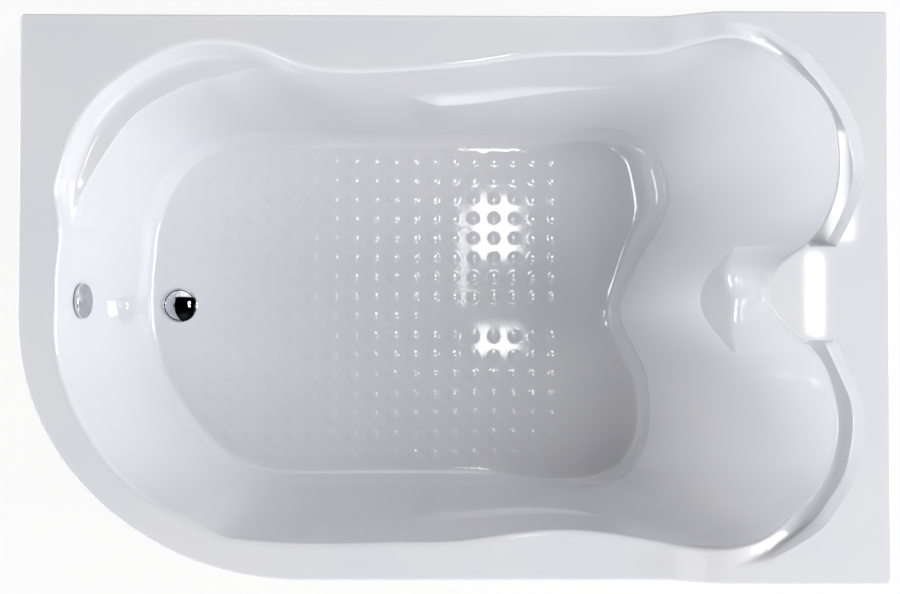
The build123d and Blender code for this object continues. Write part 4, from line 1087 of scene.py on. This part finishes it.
    def build(self) -> bpy.types.Object:
        """Makes the sheet's piece."""
        top, rim_loop = self.surface(FINE, 1.0)
        under, under_loop = self.surface(COARSE, 1.2)
        lowered = under.all_points() - under.normals() * self.shape.sheet
        lowered[under_loop, 2] = under.all_points()[under_loop, 2]
        net = Net([top.all_points(), lowered], list(top.faces), top.count + under.count)
        net.faces += [tuple(corner + top.count for corner in reversed(face)) for face in under.faces]
        net.band(under_loop + top.count, rim_loop)
        piece = net.piece("acrylic_sheet")
        WASTE.cut(piece)
        dress(piece, ACRYLIC)
        return piece


@dataclass
class SprayedBacking:
    """The glass-fibre layer behind the basin: smooth against the sheet, lumpy outside where it was rolled."""

    shape: TubShape
    gap: float = 5.3 * MM
    thickness: float = 3.6 * MM
    lump: float = 0.9 * MM
    lump_size: float = 45 * MM
    first_ring: int = 5

    def build(self) -> bpy.types.Object:
        """Makes the layer's piece."""
        net = Net()
        rings = [net.add(ring) for ring in self.shape.rings(COARSE)[self.first_ring:]]
        for one, other in zip(rings, rings[1:]):
            net.band(one, other)
        FormedSheet(self.shape).fill_floor(net, rings[-1], COARSE)
        points, normals = net.all_points(), net.normals()
        lumps = np.array([noise.noise(Vector(point) / self.lump_size) + 0.5 * noise.noise(
            Vector(point) / self.lump_size * 2.7) for point in points.tolist()])
        inner = points - normals * self.gap
        outer = points - normals * (self.gap + self.thickness + self.lump * lumps)[:, None]
        level = points[:, 2] <= self.shape.rim - self.shape.depth + 1e-6
        outer[level, 2] = self.shape.rim - self.shape.depth - self.gap - self.thickness
        both = Net([inner, outer], list(net.faces), 2 * net.count)
        both.faces += [tuple(corner + net.count for corner in reversed(face)) for face in net.faces]
        both.band(rings[0] + net.count, rings[0])
        piece = both.piece("glass_fibre_backing")
        WASTE.cut(piece)
        dress(piece, LAMINATE)
        return piece


@dataclass(frozen=True)
class SoftBox:
    """A square lamp with a large soft face, placed by its bearing from +X and its height angle."""

    name: str
    bearing: float
    lift: float
    power: float
    size: float = 3.0
    distance: float = 8.0
    aim: tuple[float, float, float] = (0.0, 0.0, 0.5)


@dataclass(frozen=True)
class Pane:
    """A flat pane under the ceiling, seen only as a reflection."""

    name: str
    low: tuple[float, float]
    high: tuple[float, float]
    strength: float
    height: float = 3.4
    colour: str = "#FFFFFF"


@dataclass
class Studio:
    """Camera at the photograph's view, pale floor, soft light and a few panes that the gloss mirrors."""

    camera_place: tuple[float, float, float] = (-0.0380, -0.0956, 3.600)
    camera_turn: tuple[float, float, float] = (0.0312, -0.0119, 0.0014)
    lens: float = 61.12
    sensor: float = 36.0
    floor_size: float = 9.0
    tint: str = "#FFFFFF"
    world_strength: float = 0.02
    boxes: tuple[SoftBox, ...] = (
        SoftBox("head_low", 0.0, 14.0, 282.0),
        SoftBox("head_high", 0.0, 35.0, 328.0),
        SoftBox("foot_back", 135.0, 5.0, 38.0),
        SoftBox("foot_low", 180.0, 5.0, 203.0),
        SoftBox("foot_middle", 180.0, 14.0, 274.0),
        SoftBox("foot_front", 225.0, 14.0, 187.0),
        SoftBox("front_high", 270.0, 35.0, 46.0),
        SoftBox("front_top", 270.0, 60.0, 112.0),
        SoftBox("front_head_low", 315.0, 14.0, 29.0),
        SoftBox("front_head_high", 315.0, 35.0, 84.0),
        SoftBox("back_high", 90.0, 35.0, 64.0),
        SoftBox("back_top", 90.0, 60.0, 10.0),
        SoftBox("zenith", 0.0, 90.0, 22.0),
    )
    panes: tuple[Pane, ...] = (
        Pane("window_one", (0.13, 0.27), (0.35, 0.56), 16.0),
        Pane("window_two", (0.15, -0.14), (0.35, -0.01), 16.0),
        Pane("window_edge", (0.092, 0.08), (0.108, 0.49), 16.0),
        Pane("window_tongue", (1.363, -0.06), (1.427, 0.25), 16.0),
        Pane("window_ledge", (1.46, 0.30), (1.54, 0.72), 16.0),
        Pane("dark_ceiling", (-2.3, -4.0), (2.6, 1.5), 0.02, 3.9, "#20242C"),
    )

    def camera(self) -> None:
        """Adds the camera."""
        data = bpy.data.cameras.new("camera")
        data.lens = self.lens
        data.sensor_width = self.sensor
        data.sensor_fit = "HORIZONTAL"
        camera = bpy.data.objects.new("camera", data)
        camera.location = self.camera_place
        camera.rotation_euler = self.camera_turn
        bpy.context.scene.collection.objects.link(camera)
        bpy.context.scene.camera = camera

    def floor(self) -> None:
        """Adds the floor: white to the camera and in reflections, with the object's shadow kept."""
        mesh = bpy.data.meshes.new("floor")
        half = self.floor_size / 2
        corners = [(-half, -half, 0), (half, -half, 0), (half, half, 0), (-half, half, 0)]
        mesh.from_pydata(corners, [], [(0, 1, 2, 3)])
        floor = bpy.data.objects.new("floor", mesh)
        bpy.context.scene.collection.objects.link(floor)
        material = bpy.data.materials.new("studio_floor")
        material.use_nodes = True
        tree = material.node_tree
        tree.nodes.clear()
        seen = self.seen(tree)
        matte = add_node(tree, "ShaderNodeBsdfDiffuse", inputs={"Color": linear("#EFEFEF")})
        glow = add_node(tree, "ShaderNodeEmission", inputs={"Strength": 1.0})
        part = add_node(tree, "ShaderNodeMath", {"operation": "MULTIPLY"}, {0: seen, 1: 0.85})
        mix = add_node(tree, "ShaderNodeMixShader", inputs={
            0: part.outputs["Value"], 1: matte.outputs["BSDF"], 2: glow.outputs["Emission"]})
        add_node(tree, "ShaderNodeOutputMaterial", inputs={"Surface": mix.outputs["Shader"]})
        mesh.materials.append(material)

    def seen(self, tree: bpy.types.NodeTree) -> bpy.types.NodeSocket:
        """1 for rays from the camera, in reflections and through clear things."""
        path = add_node(tree, "ShaderNodeLightPath")
        first = add_node(tree, "ShaderNodeMath", {"operation": "MAXIMUM"}, {
            0: path.outputs["Is Camera Ray"], 1: path.outputs["Is Glossy Ray"]})
        both = add_node(tree, "ShaderNodeMath", {"operation": "MAXIMUM"}, {
            0: first.outputs["Value"], 1: path.outputs["Is Transmission Ray"]})
        return both.outputs["Value"]

    def world(self) -> None:
        """White to the camera and in reflections, and a faint even light on the object."""
        world = bpy.data.worlds.new("studio")
        bpy.context.scene.world = world
        world.use_nodes = True
        tree = world.node_tree
        tree.nodes.clear()
        seen = self.seen(tree)
        light = add_node(tree, "ShaderNodeBackground", inputs={
            "Color": linear(self.tint), "Strength": self.world_strength})
        white = add_node(tree, "ShaderNodeBackground", inputs={"Color": linear("#FFFFFF"), "Strength": 1.0})
        mix = add_node(tree, "ShaderNodeMixShader", inputs={
            0: seen, 1: light.outputs["Background"], 2: white.outputs["Background"]})
        add_node(tree, "ShaderNodeOutputWorld", inputs={"Surface": mix.outputs["Shader"]})

    def lamp(self, box: SoftBox) -> None:
        """Adds a soft box, which the camera doesn't see but the gloss mirrors."""
        data = bpy.data.lights.new(box.name, "AREA")
        data.shape = "SQUARE"
        data.size = box.size
        data.energy = box.power
        data.color = linear(self.tint)[:3]
        bearing, lift = math.radians(box.bearing), math.radians(box.lift)
        away = Vector((math.cos(bearing) * math.cos(lift), math.sin(bearing) * math.cos(lift), math.sin(lift)))
        lamp = bpy.data.objects.new(box.name, data)
        lamp.location = Vector(box.aim) + away * box.distance
        lamp.rotation_euler = (-away).to_track_quat("-Z", "Y").to_euler()
        lamp.visible_camera = False
        bpy.context.scene.collection.objects.link(lamp)

    def window(self, pane: Pane) -> None:
        """Adds one ceiling pane that shows in the gloss alone."""
        mesh = bpy.data.meshes.new(pane.name)
        low, high = pane.low, pane.high
        corners = [(low[0], low[1], pane.height), (high[0], low[1], pane.height),
                   (high[0], high[1], pane.height), (low[0], high[1], pane.height)]
        mesh.from_pydata(corners, [], [(0, 3, 2, 1)])
        window = bpy.data.objects.new(pane.name, mesh)
        bpy.context.scene.collection.objects.link(window)
        window.visible_camera = False
        window.visible_diffuse = False
        window.visible_shadow = False
        material = bpy.data.materials.new(pane.name)
        material.use_nodes = True
        material.node_tree.nodes.clear()
        glow = add_node(material.node_tree, "ShaderNodeEmission", inputs={
            "Color": linear(pane.colour), "Strength": pane.strength})
        add_node(material.node_tree, "ShaderNodeOutputMaterial", inputs={"Surface": glow.outputs["Emission"]})
        mesh.materials.append(material)

    def build(self) -> None:
        """Sets up the whole studio."""
        scene = bpy.context.scene
        scene.view_settings.view_transform = "Standard"
        self.camera()
        self.floor()
        self.world()
        for box in self.boxes:
            self.lamp(box)
        for pane in self.panes:
            self.window(pane)


@dataclass
class Underside:
    """Everything below and behind the sheet that keeps its own solid: each gets its finish by its slot."""

    finishes: dict[str, Finish] = field(default_factory=lambda: {
        "glass_fibre": LAMINATE, "board": BOARD, "batten_wood": SPRUCE_ALONG, "frame_paint": PAINT,
        "zinc_steel": ZINC, "chrome": CHROME, "rubber": RUBBER, "waste_plastic": POLYPROPYLENE,
        "brass": BRASS, "cable_sheath": SHEATH, "pad_plastic": POLYAMIDE, "acrylic": ACRYLIC})
    crosswise: tuple[str, ...] = ("foot_batten", "head_batten")

    def build(self) -> None:
        """Dresses every node that keeps its own solid."""
        slots = {part["node"]: part["material_slot"] for part in frame["record"]["subparts"]}
        for name, node in frame["nodes"].items():
            if node.hide_render:
                continue
            finish = SPRUCE_ACROSS if name in self.crosswise else self.finishes[slots[name]]
            dress(node, finish)


def main() -> None:
    logging.basicConfig(level=logging.INFO, format="%(name)s: %(message)s")
    Studio().build()
    shape = TubShape()
    sheet = FormedSheet(shape).build()
    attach(sheet, "tub")
    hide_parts("acrylic_shell")
    backing = SprayedBacking(shape).build()
    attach(backing, "tub")
    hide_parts("laminate_shell")
    Underside().build()


if __name__ == "__main__":
    main()
